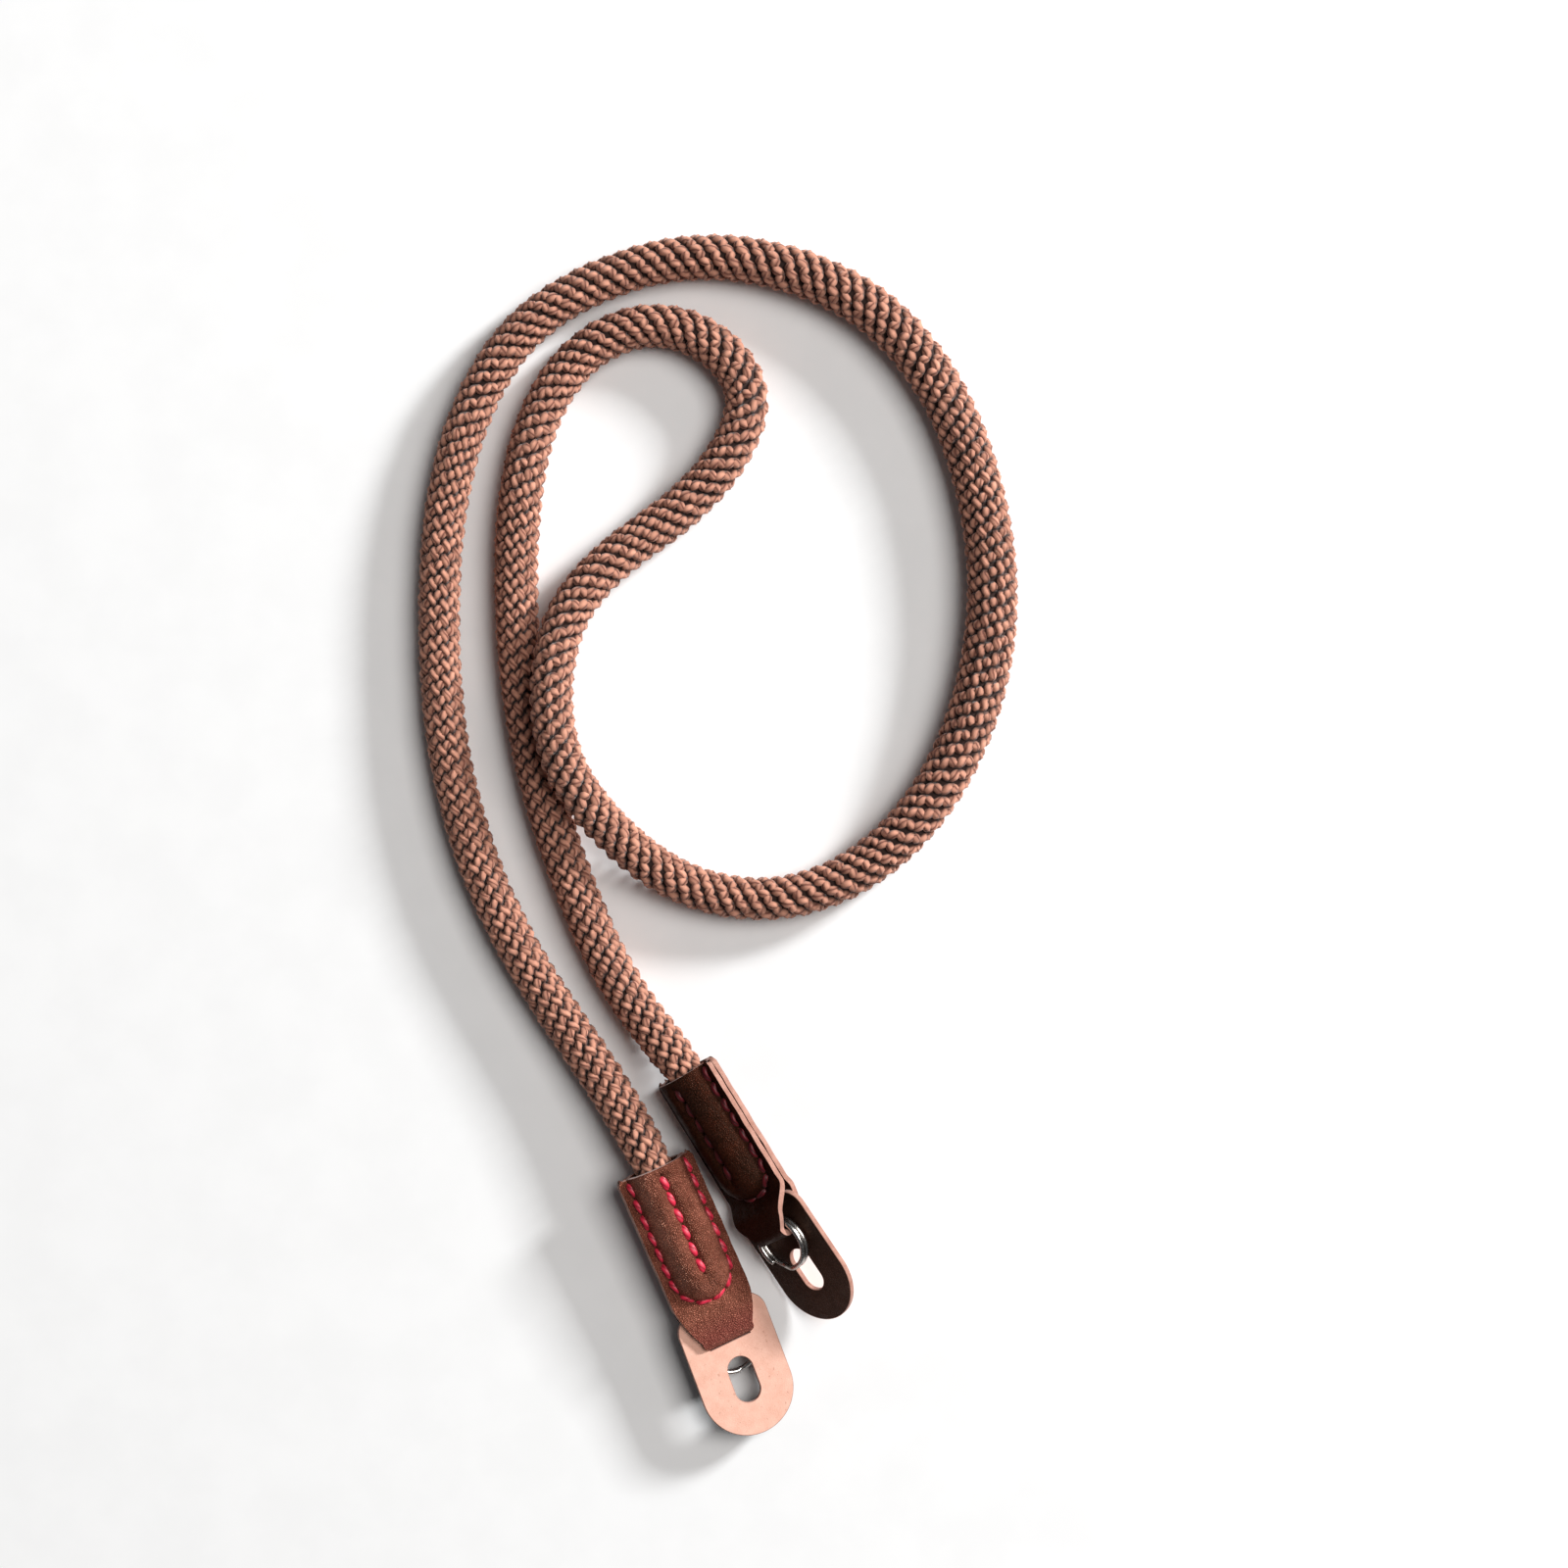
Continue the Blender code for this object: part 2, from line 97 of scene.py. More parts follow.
class Facing(Enum):
    """Which way a leather end's ring side looks as it lies."""

    RING_UP = 1
    RING_DOWN = -1


class Face(Enum):
    """The two halves of a cover's strip: the plain one towards the camera body and the one over the ring."""

    BODY_SIDE = -1
    RING_SIDE = 1


@dataclass(frozen=True)
class EndPlace:
    """Where a leather end lies.

    Sizes are in metres and angles in degrees: the cover's mouth, the heading from -Y towards +X, the lean of
    the +Y edge, the dip of the tip, and the guard's own turn about its slit.
    """

    name: str
    mouth: tuple[float, float, float]
    heading: float
    lean: float
    dip: float
    guard_turn: float
    facing: Facing

    def matrix(self) -> Matrix:
        """The end's own directions as a world matrix.

        Returns:
            A matrix with +X along the end, +Y across and +Z out of the ring side.
        """
        heading, lean, dip = (math.radians(angle) for angle in (self.heading, self.lean, self.dip))
        sign = self.facing.value
        along = Vector((math.sin(heading), -math.cos(heading), 0.0))
        out = Vector((0.0, 0.0, float(sign)))
        base = Matrix((along, out.cross(along), out)).transposed()
        tilt = Matrix.Rotation(dip * sign, 3, "Y") @ Matrix.Rotation(lean * sign, 3, "X")
        return Matrix.Translation(self.mouth) @ (base @ tilt).to_4x4()


LEFT_PLACE = EndPlace("left", (-0.0147, -0.0761, 0.0081), 23.5, 13.0, 2.0, 3.0, Facing.RING_DOWN)
RIGHT_PLACE = EndPlace("right", (-0.0073045, -0.054239, 0.0090025), 31.5, 44.0, 1.0, 3.5, Facing.RING_UP)


def worked_out() -> Any:
    """A dataclass field that the class works out for itself."""
    return field(init=False, repr=False)


def smooth(low: float, high: float, value: float | Array) -> float | Array:
    """Rises from 0 at low to 1 at high with level ends.

    Args:
        low: Where the rise starts.
        high: Where it ends.
        value: The place to read, or an array of places.

    Returns:
        A share from 0 to 1.
    """
    share = np.clip((value - low) / (high - low), 0.0, 1.0)
    return share * share * (3 - 2 * share)


def spline_through(rows: Sequence[Sequence[float]], steps: int) -> Array:
    """Samples a natural cubic spline through rows of numbers.

    Args:
        rows: The rows. Their first three columns are a place and set the pace.
        steps: Samples between two rows.

    Returns:
        An array with the rows' columns.
    """
    knots = np.array(rows, dtype=float)
    spans = np.linalg.norm(np.diff(knots[:, :3], axis=0), axis=1)
    count = len(knots)
    system, pull = np.zeros((count, count)), np.zeros(knots.shape)
    system[0, 0] = system[-1, -1] = 1.0
    for i in range(1, count - 1):
        before, after = spans[i - 1], spans[i]
        system[i, i - 1:i + 2] = before, 2 * (before + after), after
        pull[i] = 6 * ((knots[i + 1] - knots[i]) / after - (knots[i] - knots[i - 1]) / before)
    bend = np.linalg.solve(system, pull)
    samples = []
    for i, span in enumerate(spans):
        for there in np.linspace(0, span, steps, endpoint=False):
            back = span - there
            samples.append(
                (bend[i] * back**3 + bend[i + 1] * there**3) / (6 * span)
                + (knots[i] / span - bend[i] * span / 6) * back
                + (knots[i + 1] / span - bend[i + 1] * span / 6) * there
            )
    samples.append(knots[-1])
    return np.array(samples)


def walked_lengths(points: Array) -> Array:
    """The length walked along a line of points, at each of them."""
    return np.concatenate(([0.0], np.cumsum(np.linalg.norm(np.diff(points, axis=0), axis=1))))


def add_object(name: str, data: bpy.types.ID) -> bpy.types.Object:
    """Makes an object of a mesh, a curve, a light or a camera and links it to the scene."""
    made = bpy.data.objects.new(name, data)
    bpy.context.scene.collection.objects.link(made)
    return made


def mesh_object(name: str, points: Array, faces: Array, uv: Array | None = None) -> bpy.types.Object:
    """Makes a smooth-shaded mesh object from arrays.

    Args:
        name: The object's name.
        points: One row of x, y, z for each vertex.
        faces: One row of four vertex numbers for each face.
        uv: One row of two coordinates for each face corner, if the finish needs them.

    Returns:
        The new object, linked to the scene.
    """
    mesh = bpy.data.meshes.new(name)
    mesh.vertices.add(len(points))
    mesh.vertices.foreach_set("co", np.asarray(points, dtype=np.float32).ravel())
    mesh.loops.add(faces.size)
    mesh.loops.foreach_set("vertex_index", np.asarray(faces, dtype=np.int32).ravel())
    mesh.polygons.add(len(faces))
    mesh.polygons.foreach_set("loop_start", np.arange(0, faces.size, faces.shape[1], dtype=np.int32))
    if uv is not None:
        layer = mesh.uv_layers.new(name="strand")
        layer.data.foreach_set("uv", np.asarray(uv, dtype=np.float32).ravel())
    mesh.update(calc_edges=True)
    mesh.polygons.foreach_set("use_smooth", np.ones(len(faces), dtype=bool))
    return add_object(name, mesh)


def paint(piece: bpy.types.Object, label: str, mask: Array) -> None:
    """Keeps a mask on a mesh, one value for each vertex, for its finish to read."""
    layer = piece.data.attributes.new(label, "FLOAT", "POINT")
    layer.data.foreach_set("value", np.asarray(mask, dtype=np.float32).ravel())


def strand_rings(paths: Array, out: Array, half_out: Array, half_side: Array, sides: int) -> Array:
    """Rings of points round a path, as oval sections.

    Args:
        paths: The path's points.
        out: A direction at each point that the section's first half-width follows.
        half_out: Half the section's size along that direction.
        half_side: Half its size across it.
        sides: Points in each ring.

    Returns:
        An array of shape (points, sides, 3).
    """
    run = np.gradient(paths, axis=0)
    run /= np.linalg.norm(run, axis=1)[:, None]
    up = out - (out * run).sum(1)[:, None] * run
    up /= np.linalg.norm(up, axis=1)[:, None]
    side = np.cross(run, up)
    turns = np.arange(sides) * 2 * math.pi / sides
    return (
        paths[:, None, :]
        + up[:, None, :] * (half_out[:, None] * np.cos(turns))[:, :, None]
        + side[:, None, :] * (half_side[:, None] * np.sin(turns))[:, :, None]
    )


def strand_faces(rings: int, sides: int, first: int = 0) -> Array:
    """Quads between neighbouring rings of a strand.

    Args:
        rings: How many rings there are.
        sides: Points in each ring.
        first: Number of the first vertex.

    Returns:
        One row of four vertex numbers for each face.
    """
    ring = np.arange(rings - 1)[:, None] * sides + first
    here, there = np.arange(sides), (np.arange(sides) + 1) % sides
    corners = [ring + here, ring + there, ring + sides + there, ring + sides + here]
    return np.stack(corners, axis=-1).reshape(-1, 4)


def strand_uv(walked: Array, sides: int) -> Array:
    """Coordinates along and round a strand for each corner of strand_faces.

    Args:
        walked: Length walked at each ring, in millimetres.
        sides: Points in each ring.

    Returns:
        One row of (length, turn) for each face corner.
    """
    start, stop = walked[:-1, None], walked[1:, None]
    here = np.arange(sides)[None, :] / sides
    there = here + 1 / sides
    corners = ((start, here), (start, there), (stop, there), (stop, here))
    pairs = [np.stack(np.broadcast_arrays(*corner), axis=-1) for corner in corners]
    return np.stack(pairs, axis=2).reshape(-1, 2)


class Board:
    """A node tree that is being wired."""

    def __init__(self, tree: bpy.types.NodeTree) -> None:
        """Empties the tree and keeps it."""
        tree.nodes.clear()
        self.tree = tree

    def feed(self, node: Node, inputs: dict[str | int, object]) -> None:
        """Fills a node's inputs.

        Args:
            node: The node.
            inputs: A number, colour or socket for each named or numbered input.
        """
        for key, value in inputs.items():
            if isinstance(value, Socket):
                self.tree.links.new(value, node.inputs[key])
            else:
                node.inputs[key].default_value = value

    def add(self, kind: str, inputs: dict[str | int, object] | None = None, **settings: object) -> Node:
        """Adds a node.

        Args:
            kind: The node's type name.
            inputs: What its inputs take, as for feed.
            settings: The node's own options.

        Returns:
            The new node.
        """
        node = self.tree.nodes.new(kind)
        for key, value in settings.items():
            setattr(node, key, value)
        self.feed(node, inputs or {})
        return node

    def spot(self) -> Socket:
        """Adds the piece's own coordinates and returns them."""
        return self.add("ShaderNodeTexCoord").outputs["Object"]

    def mask(self, label: str) -> Socket:
        """Adds a mask that is painted on the mesh and returns it."""
        return self.add("ShaderNodeAttribute", attribute_name=label).outputs["Fac"]

    def combine(self, operation: str, first: object, second: object = 0.0) -> Socket:
        """Combines two values with a Math node and returns its output."""
        return self.add("ShaderNodeMath", {0: first, 1: second}, operation=operation).outputs[0]

    def plus(self, first: object, second: object) -> Socket:
        """Adds two values and returns the sum."""
        return self.combine("ADD", first, second)

    def times(self, first: object, second: object) -> Socket:
        """Multiplies two values and returns the product."""
        return self.combine("MULTIPLY", first, second)

    def weigh(self, first: object, second: object, weights: Pair) -> Socket:
        """Adds two values by their weights and returns the sum."""
        return self.plus(self.times(first, weights[0]), self.times(second, weights[1]))

    def remap(self, value: object, low: float, high: float, to_low: float = 0.0,
              to_high: float = 1.0) -> Socket:
        """Maps a value smoothly from one range to another and returns the result."""
        inputs = {"Value": value, "From Min": low, "From Max": high, "To Min": to_low, "To Max": to_high}
        return self.add("ShaderNodeMapRange", inputs, interpolation_type="SMOOTHSTEP").outputs["Result"]

    def blend(self, share: object, first: object, second: object) -> Socket:
        """Mixes two colours by a share and returns the result."""
        return self.add("ShaderNodeMix", {0: share, 6: first, 7: second}, data_type="RGBA").outputs[2]

    def noise(self, vector: object, scale: object, detail: float = 3.0, roughness: float = 0.55) -> Socket:
        """Adds a noise texture and returns its value."""
        inputs = {"Vector": vector, "Scale": scale, "Detail": detail, "Roughness": roughness}
        return self.add("ShaderNodeTexNoise", inputs).outputs[0]


def effect_group(name: str, inputs: dict[str, tuple[str, object]], outputs: Sequence[str],
                 wire: Callable[[Board, dict[str, Socket]], dict[str, object]]) -> bpy.types.NodeTree:
    """Builds a shader node group once, or finds it.

    Args:
        name: The group's name.
        inputs: For each input, its kind of socket and its usual value.
        outputs: Names of the outputs, which are all plain values.
        wire: Adds the nodes and returns a socket for each output.

    Returns:
        The group's node tree.
    """
    if name in bpy.data.node_groups:
        return bpy.data.node_groups[name]
    tree = bpy.data.node_groups.new(name, "ShaderNodeTree")
    for label, (kind, usual) in inputs.items():
        socket = tree.interface.new_socket(name=label, in_out="INPUT", socket_type=kind)
        if usual is not None:
            socket.default_value = usual
    for label in outputs:
        tree.interface.new_socket(name=label, in_out="OUTPUT", socket_type="NodeSocketFloat")
    board = Board(tree)
    given = board.add("NodeGroupInput").outputs
    made = wire(board, {label: given[label] for label in inputs})
    board.add("NodeGroupOutput", made)
    return tree


# Inside the effect groups: how far the grain drifts in metres, finer and coarser noise as multiples of the
# group's own scale, the values between which a texture counts, and the weights of what is added up
GRAIN_DRIFT = (0.0006, 0.0006, 0.0006)
PEBBLE_EDGE = (0.0, 0.32)
PORE_SCALE = 2.6
CREASE_SCALE = 0.28
CREASE_EDGE = (0.35, 0.65)
PEBBLE_AND_PORE = (0.6, 0.5)
MOTTLE_AND_PEBBLE = (0.7, 0.3)
NAP_MOTTLE_SCALE = 0.12
FLECK_SCALE = 0.33
FLECK_EDGE = (0.66, 0.76)
NAP_AND_MOTTLE = (0.5, 0.5)
PLY_ROUNDNESS = 0.6
FIBRE_PACE = (0.25, 2.2)
PLY_AND_FIBRE = (0.55, 0.45)


def leather_grain() -> bpy.types.NodeTree:
    """The pebbled grain of tanned leather, with fine creases: Height and Tone."""
    def wire(board: Board, given: dict[str, Socket]) -> dict[str, object]:
        """Wires pebbles, pores and creases."""
        place, size = given["Vector"], given["Pebbles"]
        drift = board.noise(place, scale=260.0, detail=2.0).node.outputs["Color"]
        shift = board.add("ShaderNodeVectorMath", {0: drift, 1: GRAIN_DRIFT}, operation="MULTIPLY").outputs[0]
        moved = board.add("ShaderNodeVectorMath", {0: place, 1: shift}, operation="ADD").outputs[0]
        cells = {"Vector": moved, "Scale": size}
        pebbles = board.add("ShaderNodeTexVoronoi", cells, feature="DISTANCE_TO_EDGE")
        crown = board.remap(pebbles.outputs["Distance"], *PEBBLE_EDGE)
        pores = board.noise(moved, board.times(size, PORE_SCALE), detail=4.0, roughness=0.6)
        folds = board.noise(place, board.times(size, CREASE_SCALE), roughness=0.6)
        crease = board.times(board.remap(folds, *CREASE_EDGE), given["Creases"])
        body = board.weigh(crown, pores, PEBBLE_AND_PORE)
        mottle = board.noise(place, scale=170.0, detail=4.0, roughness=0.65)
        tone = board.weigh(mottle, crown, MOTTLE_AND_PEBBLE)
        return {"Height": board.plus(body, crease), "Tone": tone}

    inputs = {"Vector": ("NodeSocketVector", None), "Pebbles": ("NodeSocketFloat", 1500.0),
              "Creases": ("NodeSocketFloat", 0.5)}
    return effect_group("leather_grain", inputs, ("Height", "Tone"), wire)


def flesh_fibre() -> bpy.types.NodeTree:
    """The short nap of leather's flesh side and of its cut edges: Height, Tone and Fleck."""
    def wire(board: Board, given: dict[str, Socket]) -> dict[str, object]:
        """Wires the nap, its mottling and the dark flecks."""
        place, size = given["Vector"], given["Nap"]
        nap = board.noise(place, size, detail=5.0, roughness=0.7)
        mottle = board.noise(place, board.times(size, NAP_MOTTLE_SCALE), roughness=0.6)
        spots = board.noise(place, board.times(size, FLECK_SCALE), detail=2.0, roughness=0.5)
        tone = board.weigh(nap, mottle, NAP_AND_MOTTLE)
        return {"Height": nap, "Tone": tone, "Fleck": board.remap(spots, *FLECK_EDGE)}

    inputs = {"Vector": ("NodeSocketVector", None), "Nap": ("NodeSocketFloat", 3000.0)}
    return effect_group("flesh_fibre", inputs, ("Height", "Tone", "Fleck"), wire)


def twisted_strand() -> bpy.types.NodeTree:
    """Plies wound round a strand, with fine fibres along them: Height and Shade."""
    def wire(board: Board, given: dict[str, Socket]) -> dict[str, object]:
        """Wires the plies and the fibres from a length in millimetres and a share of a turn."""
        parts = board.add("ShaderNodeSeparateXYZ", {0: given["Vector"]})
        length, turn = parts.outputs["X"], parts.outputs["Y"]
        wound = board.combine("DIVIDE", length, given["Twist Length"])
        place = board.plus(board.times(turn, given["Plies"]), wound)
        wave = board.combine("ABSOLUTE", board.combine("SINE", board.times(place, math.pi)))
        crown = board.combine("POWER", wave, PLY_ROUNDNESS)
        pace = {"X": board.times(length, FIBRE_PACE[0]), "Y": board.times(place, FIBRE_PACE[1])}
        flow = board.add("ShaderNodeCombineXYZ", pace).outputs[0]
        fibres = board.noise(flow, scale=3.2, detail=4.0, roughness=0.7)
        height = board.plus(crown, board.times(fibres, given["Fibres"]))
        return {"Height": height, "Shade": board.weigh(crown, fibres, PLY_AND_FIBRE)}

    inputs = {"Vector": ("NodeSocketVector", None), "Plies": ("NodeSocketFloat", 3.0),
              "Twist Length": ("NodeSocketFloat", 3.0), "Fibres": ("NodeSocketFloat", 0.5)}
    return effect_group("twisted_strand", inputs, ("Height", "Shade"), wire)


def srgb(red: int, green: int, blue: int) -> tuple[float, float, float, float]:
    """Turns an 0 to 255 screen colour into the linear colour with alpha that a socket takes."""
    shares = [value / 255 for value in (red, green, blue)]
    linear = [share / 12.92 if share <= 0.04045 else ((share + 0.055) / 1.055) ** 2.4 for share in shares]
    return (*linear, 1.0)


@dataclass(frozen=True)
class Relief:
    """How strongly a finish's height shows, and how high it stands in metres."""

    strength: float
    height: float

    def wire(self, board: Board, shader: Node, height: Socket) -> None:
        """Feeds the height into the shader's normal."""
        inputs = {"Strength": self.strength, "Distance": self.height, "Height": height}
        board.feed(shader, {"Normal": board.add("ShaderNodeBump", inputs).outputs["Normal"]})


@dataclass(frozen=True)
class Finish:
    """A finish with a material of its own that holds one Principled shader."""

    name: str

    def material(self) -> bpy.types.Material:
        """Builds the material.

        Returns:
            The material, dressed with the finish's own nodes.
        """
        material = bpy.data.materials.new(self.name)
        material.use_nodes = True
        board = Board(material.node_tree)
        shader = board.add("ShaderNodeBsdfPrincipled")
        board.add("ShaderNodeOutputMaterial", {"Surface": shader.outputs[0]})
        self.dress(board, shader)
        return material

    def dress(self, board: Board, shader: Node) -> None:
        """Wires the finish's own nodes into the shader; each kind of finish has its own."""
        raise NotImplementedError(self.name)


@dataclass(frozen=True)
class StrandFinish(Finish):
    """Yarn or thread: plies in a lit colour on their crowns and a deep colour in the grooves between them as
    painted shade, with a soft sheen.
    """

    lit: Rgb
    deep: Rgb
    plies: float
    twist_length: float
    fibres: float
    roughness: float
    sheen: float
    relief: Relief
    patches: float = 0.0
    # The colour of painted shade where the yarn lies deep in the gaps between the loops, if any.
    crevice_shade: Rgb | None = None
    sheen_roughness: float = 0.5
    shade_range: Pair = (0.25, 0.85)
    patch_scale: float = 420.0
    patch_range: Pair = (0.35, 0.65)

    def dress(self, board: Board, shader: Node) -> None:
        """Wires the plies, the patches and the painted crevice shade, from the strand's length and turn.

        Args:
            board: The material's board.
            shader: Its shader node.
        """
        place = board.add("ShaderNodeUVMap", uv_map="strand").outputs[0]
        inputs = {"Vector": place, "Plies": self.plies, "Twist Length": self.twist_length,
                  "Fibres": self.fibres}
        strand = board.add("ShaderNodeGroup", inputs, node_tree=twisted_strand())
        shade = board.remap(strand.outputs["Shade"], *self.shade_range)
        colour = board.blend(shade, srgb(*self.deep), srgb(*self.lit))
        if self.patches:
            cloud = board.noise(board.spot(), self.patch_scale, detail=2.0)
            patch = board.remap(cloud, *self.patch_range, 0.0, self.patches)
            colour = board.blend(patch, colour, srgb(*self.deep))
        # Painted shade: the yarn darkens where it lies deep below the rope's surface, in the gaps between the
        # loops.
        if self.crevice_shade:
            colour = board.blend(board.mask("crevice_shade"), colour, srgb(*self.crevice_shade))
        board.feed(shader, {"Base Color": colour, "Roughness": self.roughness, "Sheen Weight": self.sheen,
                            "Sheen Roughness": self.sheen_roughness})
        self.relief.wire(board, shader, strand.outputs["Height"])


@dataclass(frozen=True)
class GrainFinish(Finish):
    """The grain side of leather: pebbled, satin, mottled between two colours.

    Two colours are painted over it: painted sheen and shade on the tongue towards the fold, and painted shade
    in the pierced holes.
    """

    light: Rgb
    dark: Rgb
    pebbles: float
    creases: float
    roughness: Pair
    relief: Relief
    painted_light_colours: tuple[Rgb, ...] = ()
    gloss: float = 0.5
    tone_range: Pair = (0.3, 0.75)
    height_range: Pair = (0.2, 1.1)
    painted_light_shares: Pair = (0.7, 0.9)
    tint: Rgb = (255, 190, 158)

    def dress(self, board: Board, shader: Node) -> None:
        """Wires the grain in the piece's own directions, with its painted sheen and shade over it.

        Args:
            board: The material's board.
            shader: Its shader node.
        """
        inputs = {"Vector": board.spot(), "Pebbles": self.pebbles, "Creases": self.creases}
        grain = board.add("ShaderNodeGroup", inputs, node_tree=leather_grain())
        tone = board.remap(grain.outputs["Tone"], *self.tone_range)
        colour = board.blend(tone, srgb(*self.dark), srgb(*self.light))
        # Painted light: sheen and shade on the tongue towards the fold, then shade in the pierced holes.
        for label, share, painted_tone in zip(("fold_sheen_and_shade", "pierced"), self.painted_light_shares, self.painted_light_colours):
            colour = board.blend(board.times(board.mask(label), share), colour, srgb(*painted_tone))
        polish = board.remap(grain.outputs["Height"], *self.height_range, *self.roughness[::-1])
        board.feed(shader, {"Base Color": colour, "Roughness": polish, "Specular IOR Level": self.gloss,
                            "Specular Tint": srgb(*self.tint)})
        self.relief.wire(board, shader, grain.outputs["Height"])


@dataclass(frozen=True)
class FleshFinish(Finish):
    """The flesh side of leather, or its cut edge: matte, napped and flecked."""

    light: Rgb
    dark: Rgb
    fleck: Rgb
    nap: float
    relief: Relief
    tone_range: Pair = (0.3, 0.7)
    fleck_share: float = 0.45
    roughness: float = 0.88
    sheen: float = 0.15

    def dress(self, board: Board, shader: Node) -> None:
        """Wires the nap and its flecks in the piece's own directions.

        Args:
            board: The material's board.
            shader: Its shader node.
        """
        inputs = {"Vector": board.spot(), "Nap": self.nap}
        fibre = board.add("ShaderNodeGroup", inputs, node_tree=flesh_fibre())
        tone = board.remap(fibre.outputs["Tone"], *self.tone_range)
        napped = board.blend(tone, srgb(*self.dark), srgb(*self.light))
        share = board.times(fibre.outputs["Fleck"], self.fleck_share)
        board.feed(shader, {"Base Color": board.blend(share, napped, srgb(*self.fleck)),
                            "Roughness": self.roughness, "Sheen Weight": self.sheen})
        self.relief.wire(board, shader, fibre.outputs["Height"])


@dataclass(frozen=True)
class SteelFinish(Finish):
    """Nickel-plated steel with fine drawing marks and rubbed places."""

    colour: Rgb
    rubbed: Rgb
    roughness: Pair
    relief: Relief
    wear_scale: float = 900.0
    wear_range: Pair = (0.42, 0.68)
    mark_scale: float = 5200.0
    mark_range: Pair = (0.3, 0.7)

    def dress(self, board: Board, shader: Node) -> None:
        """Wires the wear and the marks in the piece's own directions.

        Args:
            board: The material's board.
            shader: Its shader node.
        """
        place = board.spot()
        wear = board.noise(place, self.wear_scale, detail=4.0, roughness=0.6)
        marks = board.noise(place, self.mark_scale, detail=2.0, roughness=0.5)
        colour = board.blend(board.remap(wear, *self.wear_range), srgb(*self.colour), srgb(*self.rubbed))
        polish = board.remap(marks, *self.mark_range, *self.roughness)
        board.feed(shader, {"Base Color": colour, "Roughness": polish, "Metallic": 1.0})
        self.relief.wire(board, shader, marks)


@dataclass(frozen=True)
class PaperFinish(Finish):
    """Plain matte paper, faintly mottled between two whites."""

    dark: Rgb
    light: Rgb
    roughness: float
    gloss: float
    mottle_scale: float = 60.0
    tone_range: Pair = (0.3, 0.7)

    def dress(self, board: Board, shader: Node) -> None:
        """Wires the mottling into the shader."""
        tone = board.remap(board.noise(board.spot(), self.mottle_scale), *self.tone_range)
        board.feed(shader, {"Base Color": board.blend(tone, srgb(*self.dark), srgb(*self.light)),
                            "Roughness": self.roughness, "Specular IOR Level": self.gloss})


# In the rope yarn, the darkest colour, given last, is painted shade for the gaps between the knitted loops.
ROPE_YARN = StrandFinish("rope_yarn", lit=(222, 158, 132), deep=(104, 57, 43), plies=3.0, twist_length=4.2,
                         fibres=0.9, roughness=0.92, sheen=0.15, relief=Relief(0.4, 0.00016), patches=0.3,
                         crevice_shade=(26, 11, 8))
# The heart's dark colour is painted shade: it shows only through the gaps between the yarns.
ROPE_HEART_SHADE = FleshFinish("rope_heart", light=(52, 27, 19), dark=(34, 17, 12), fleck=(22, 11, 8), nap=2500.0,
                         relief=Relief(0.3, 0.0001))
RED_THREAD = StrandFinish("red_thread", lit=(222, 42, 72), deep=(148, 12, 36), plies=3.0, twist_length=2.6,
                          fibres=0.35, roughness=0.42, sheen=0.1, relief=Relief(0.6, 0.00015))
# A shaded copy of the red thread for the right end: its darker colours are painted shade.
SHADED_THREAD = StrandFinish("shaded_thread", lit=(104, 14, 26), deep=(56, 5, 12), plies=3.0, twist_length=2.6,
                           fibres=0.35, roughness=0.5, sheen=0.05, relief=Relief(0.6, 0.00015))
# The brown grain's two mask colours are painted sheen and shade on the tongue towards the fold, and painted
# shade in the stitch holes.
BROWN_GRAIN = GrainFinish("brown_grain", light=(160, 95, 77), dark=(92, 47, 34), pebbles=2200.0, creases=0.7,
                          roughness=(0.3, 0.46), relief=Relief(1.0, 0.0003),
                          painted_light_colours=((122, 56, 52), (18, 8, 6)), gloss=0.7)
# A shaded copy of the brown grain for the right end: its darker colours and mask colours are painted shade.
SHADED_GRAIN = GrainFinish("shaded_grain", light=(62, 25, 13), dark=(25, 10, 5), pebbles=2200.0, creases=0.7,
                         roughness=(0.4, 0.58), relief=Relief(0.8, 0.0002),
                         painted_light_colours=((34, 14, 11), (12, 5, 4)), gloss=0.22)
GUARD_GRAIN = GrainFinish("guard_grain", light=(46, 27, 20), dark=(26, 14, 10), pebbles=1700.0, creases=0.6,
                          roughness=(0.42, 0.6), relief=Relief(0.5, 0.00012))
GUARD_FLESH = FleshFinish("guard_flesh", light=(232, 184, 164), dark=(216, 162, 141), fleck=(160, 102, 84),
                          nap=3200.0, relief=Relief(0.4, 0.00014))
CUT_EDGE = FleshFinish("cut_edge", light=(184, 138, 122), dark=(144, 97, 82), fleck=(90, 48, 38), nap=2600.0,
                       relief=Relief(0.5, 0.00015))
RING_STEEL = SteelFinish("ring_steel", colour=(196, 192, 188), rubbed=(222, 219, 214), roughness=(0.18, 0.3),
                         relief=Relief(0.1, 0.00002))
FLOOR_PAPER = PaperFinish("floor_paper", dark=(243, 243, 243), light=(246, 246, 246), roughness=0.9,
                          gloss=0.2)


@dataclass(frozen=True)
class Lamp:
    """A square area light that looks at the middle of the strap.

    Its power is in watts, its size and distance in metres, its azimuth in degrees from +X and its elevation
    in degrees above the floor.
    """

    name: str
    power: float
    size: float
    azimuth: float
    elevation: float
    distance: float = 3.2
    tint: tuple[float, float, float] = (1.0, 1.0, 1.0)

    def place(self) -> None:
        """Adds the light."""
        azimuth, elevation = math.radians(self.azimuth), math.radians(self.elevation)
        flat = math.cos(elevation)
        towards = Vector((flat * math.cos(azimuth), flat * math.sin(azimuth), math.sin(elevation)))
        data = bpy.data.lights.new(self.name, "AREA")
        data.energy = self.power
        data.size = self.size
        data.color = self.tint
        lamp = add_object(self.name, data)
        lamp.location = towards * self.distance
        lamp.rotation_euler = (-towards).to_track_quat("-Z", "Y").to_euler()


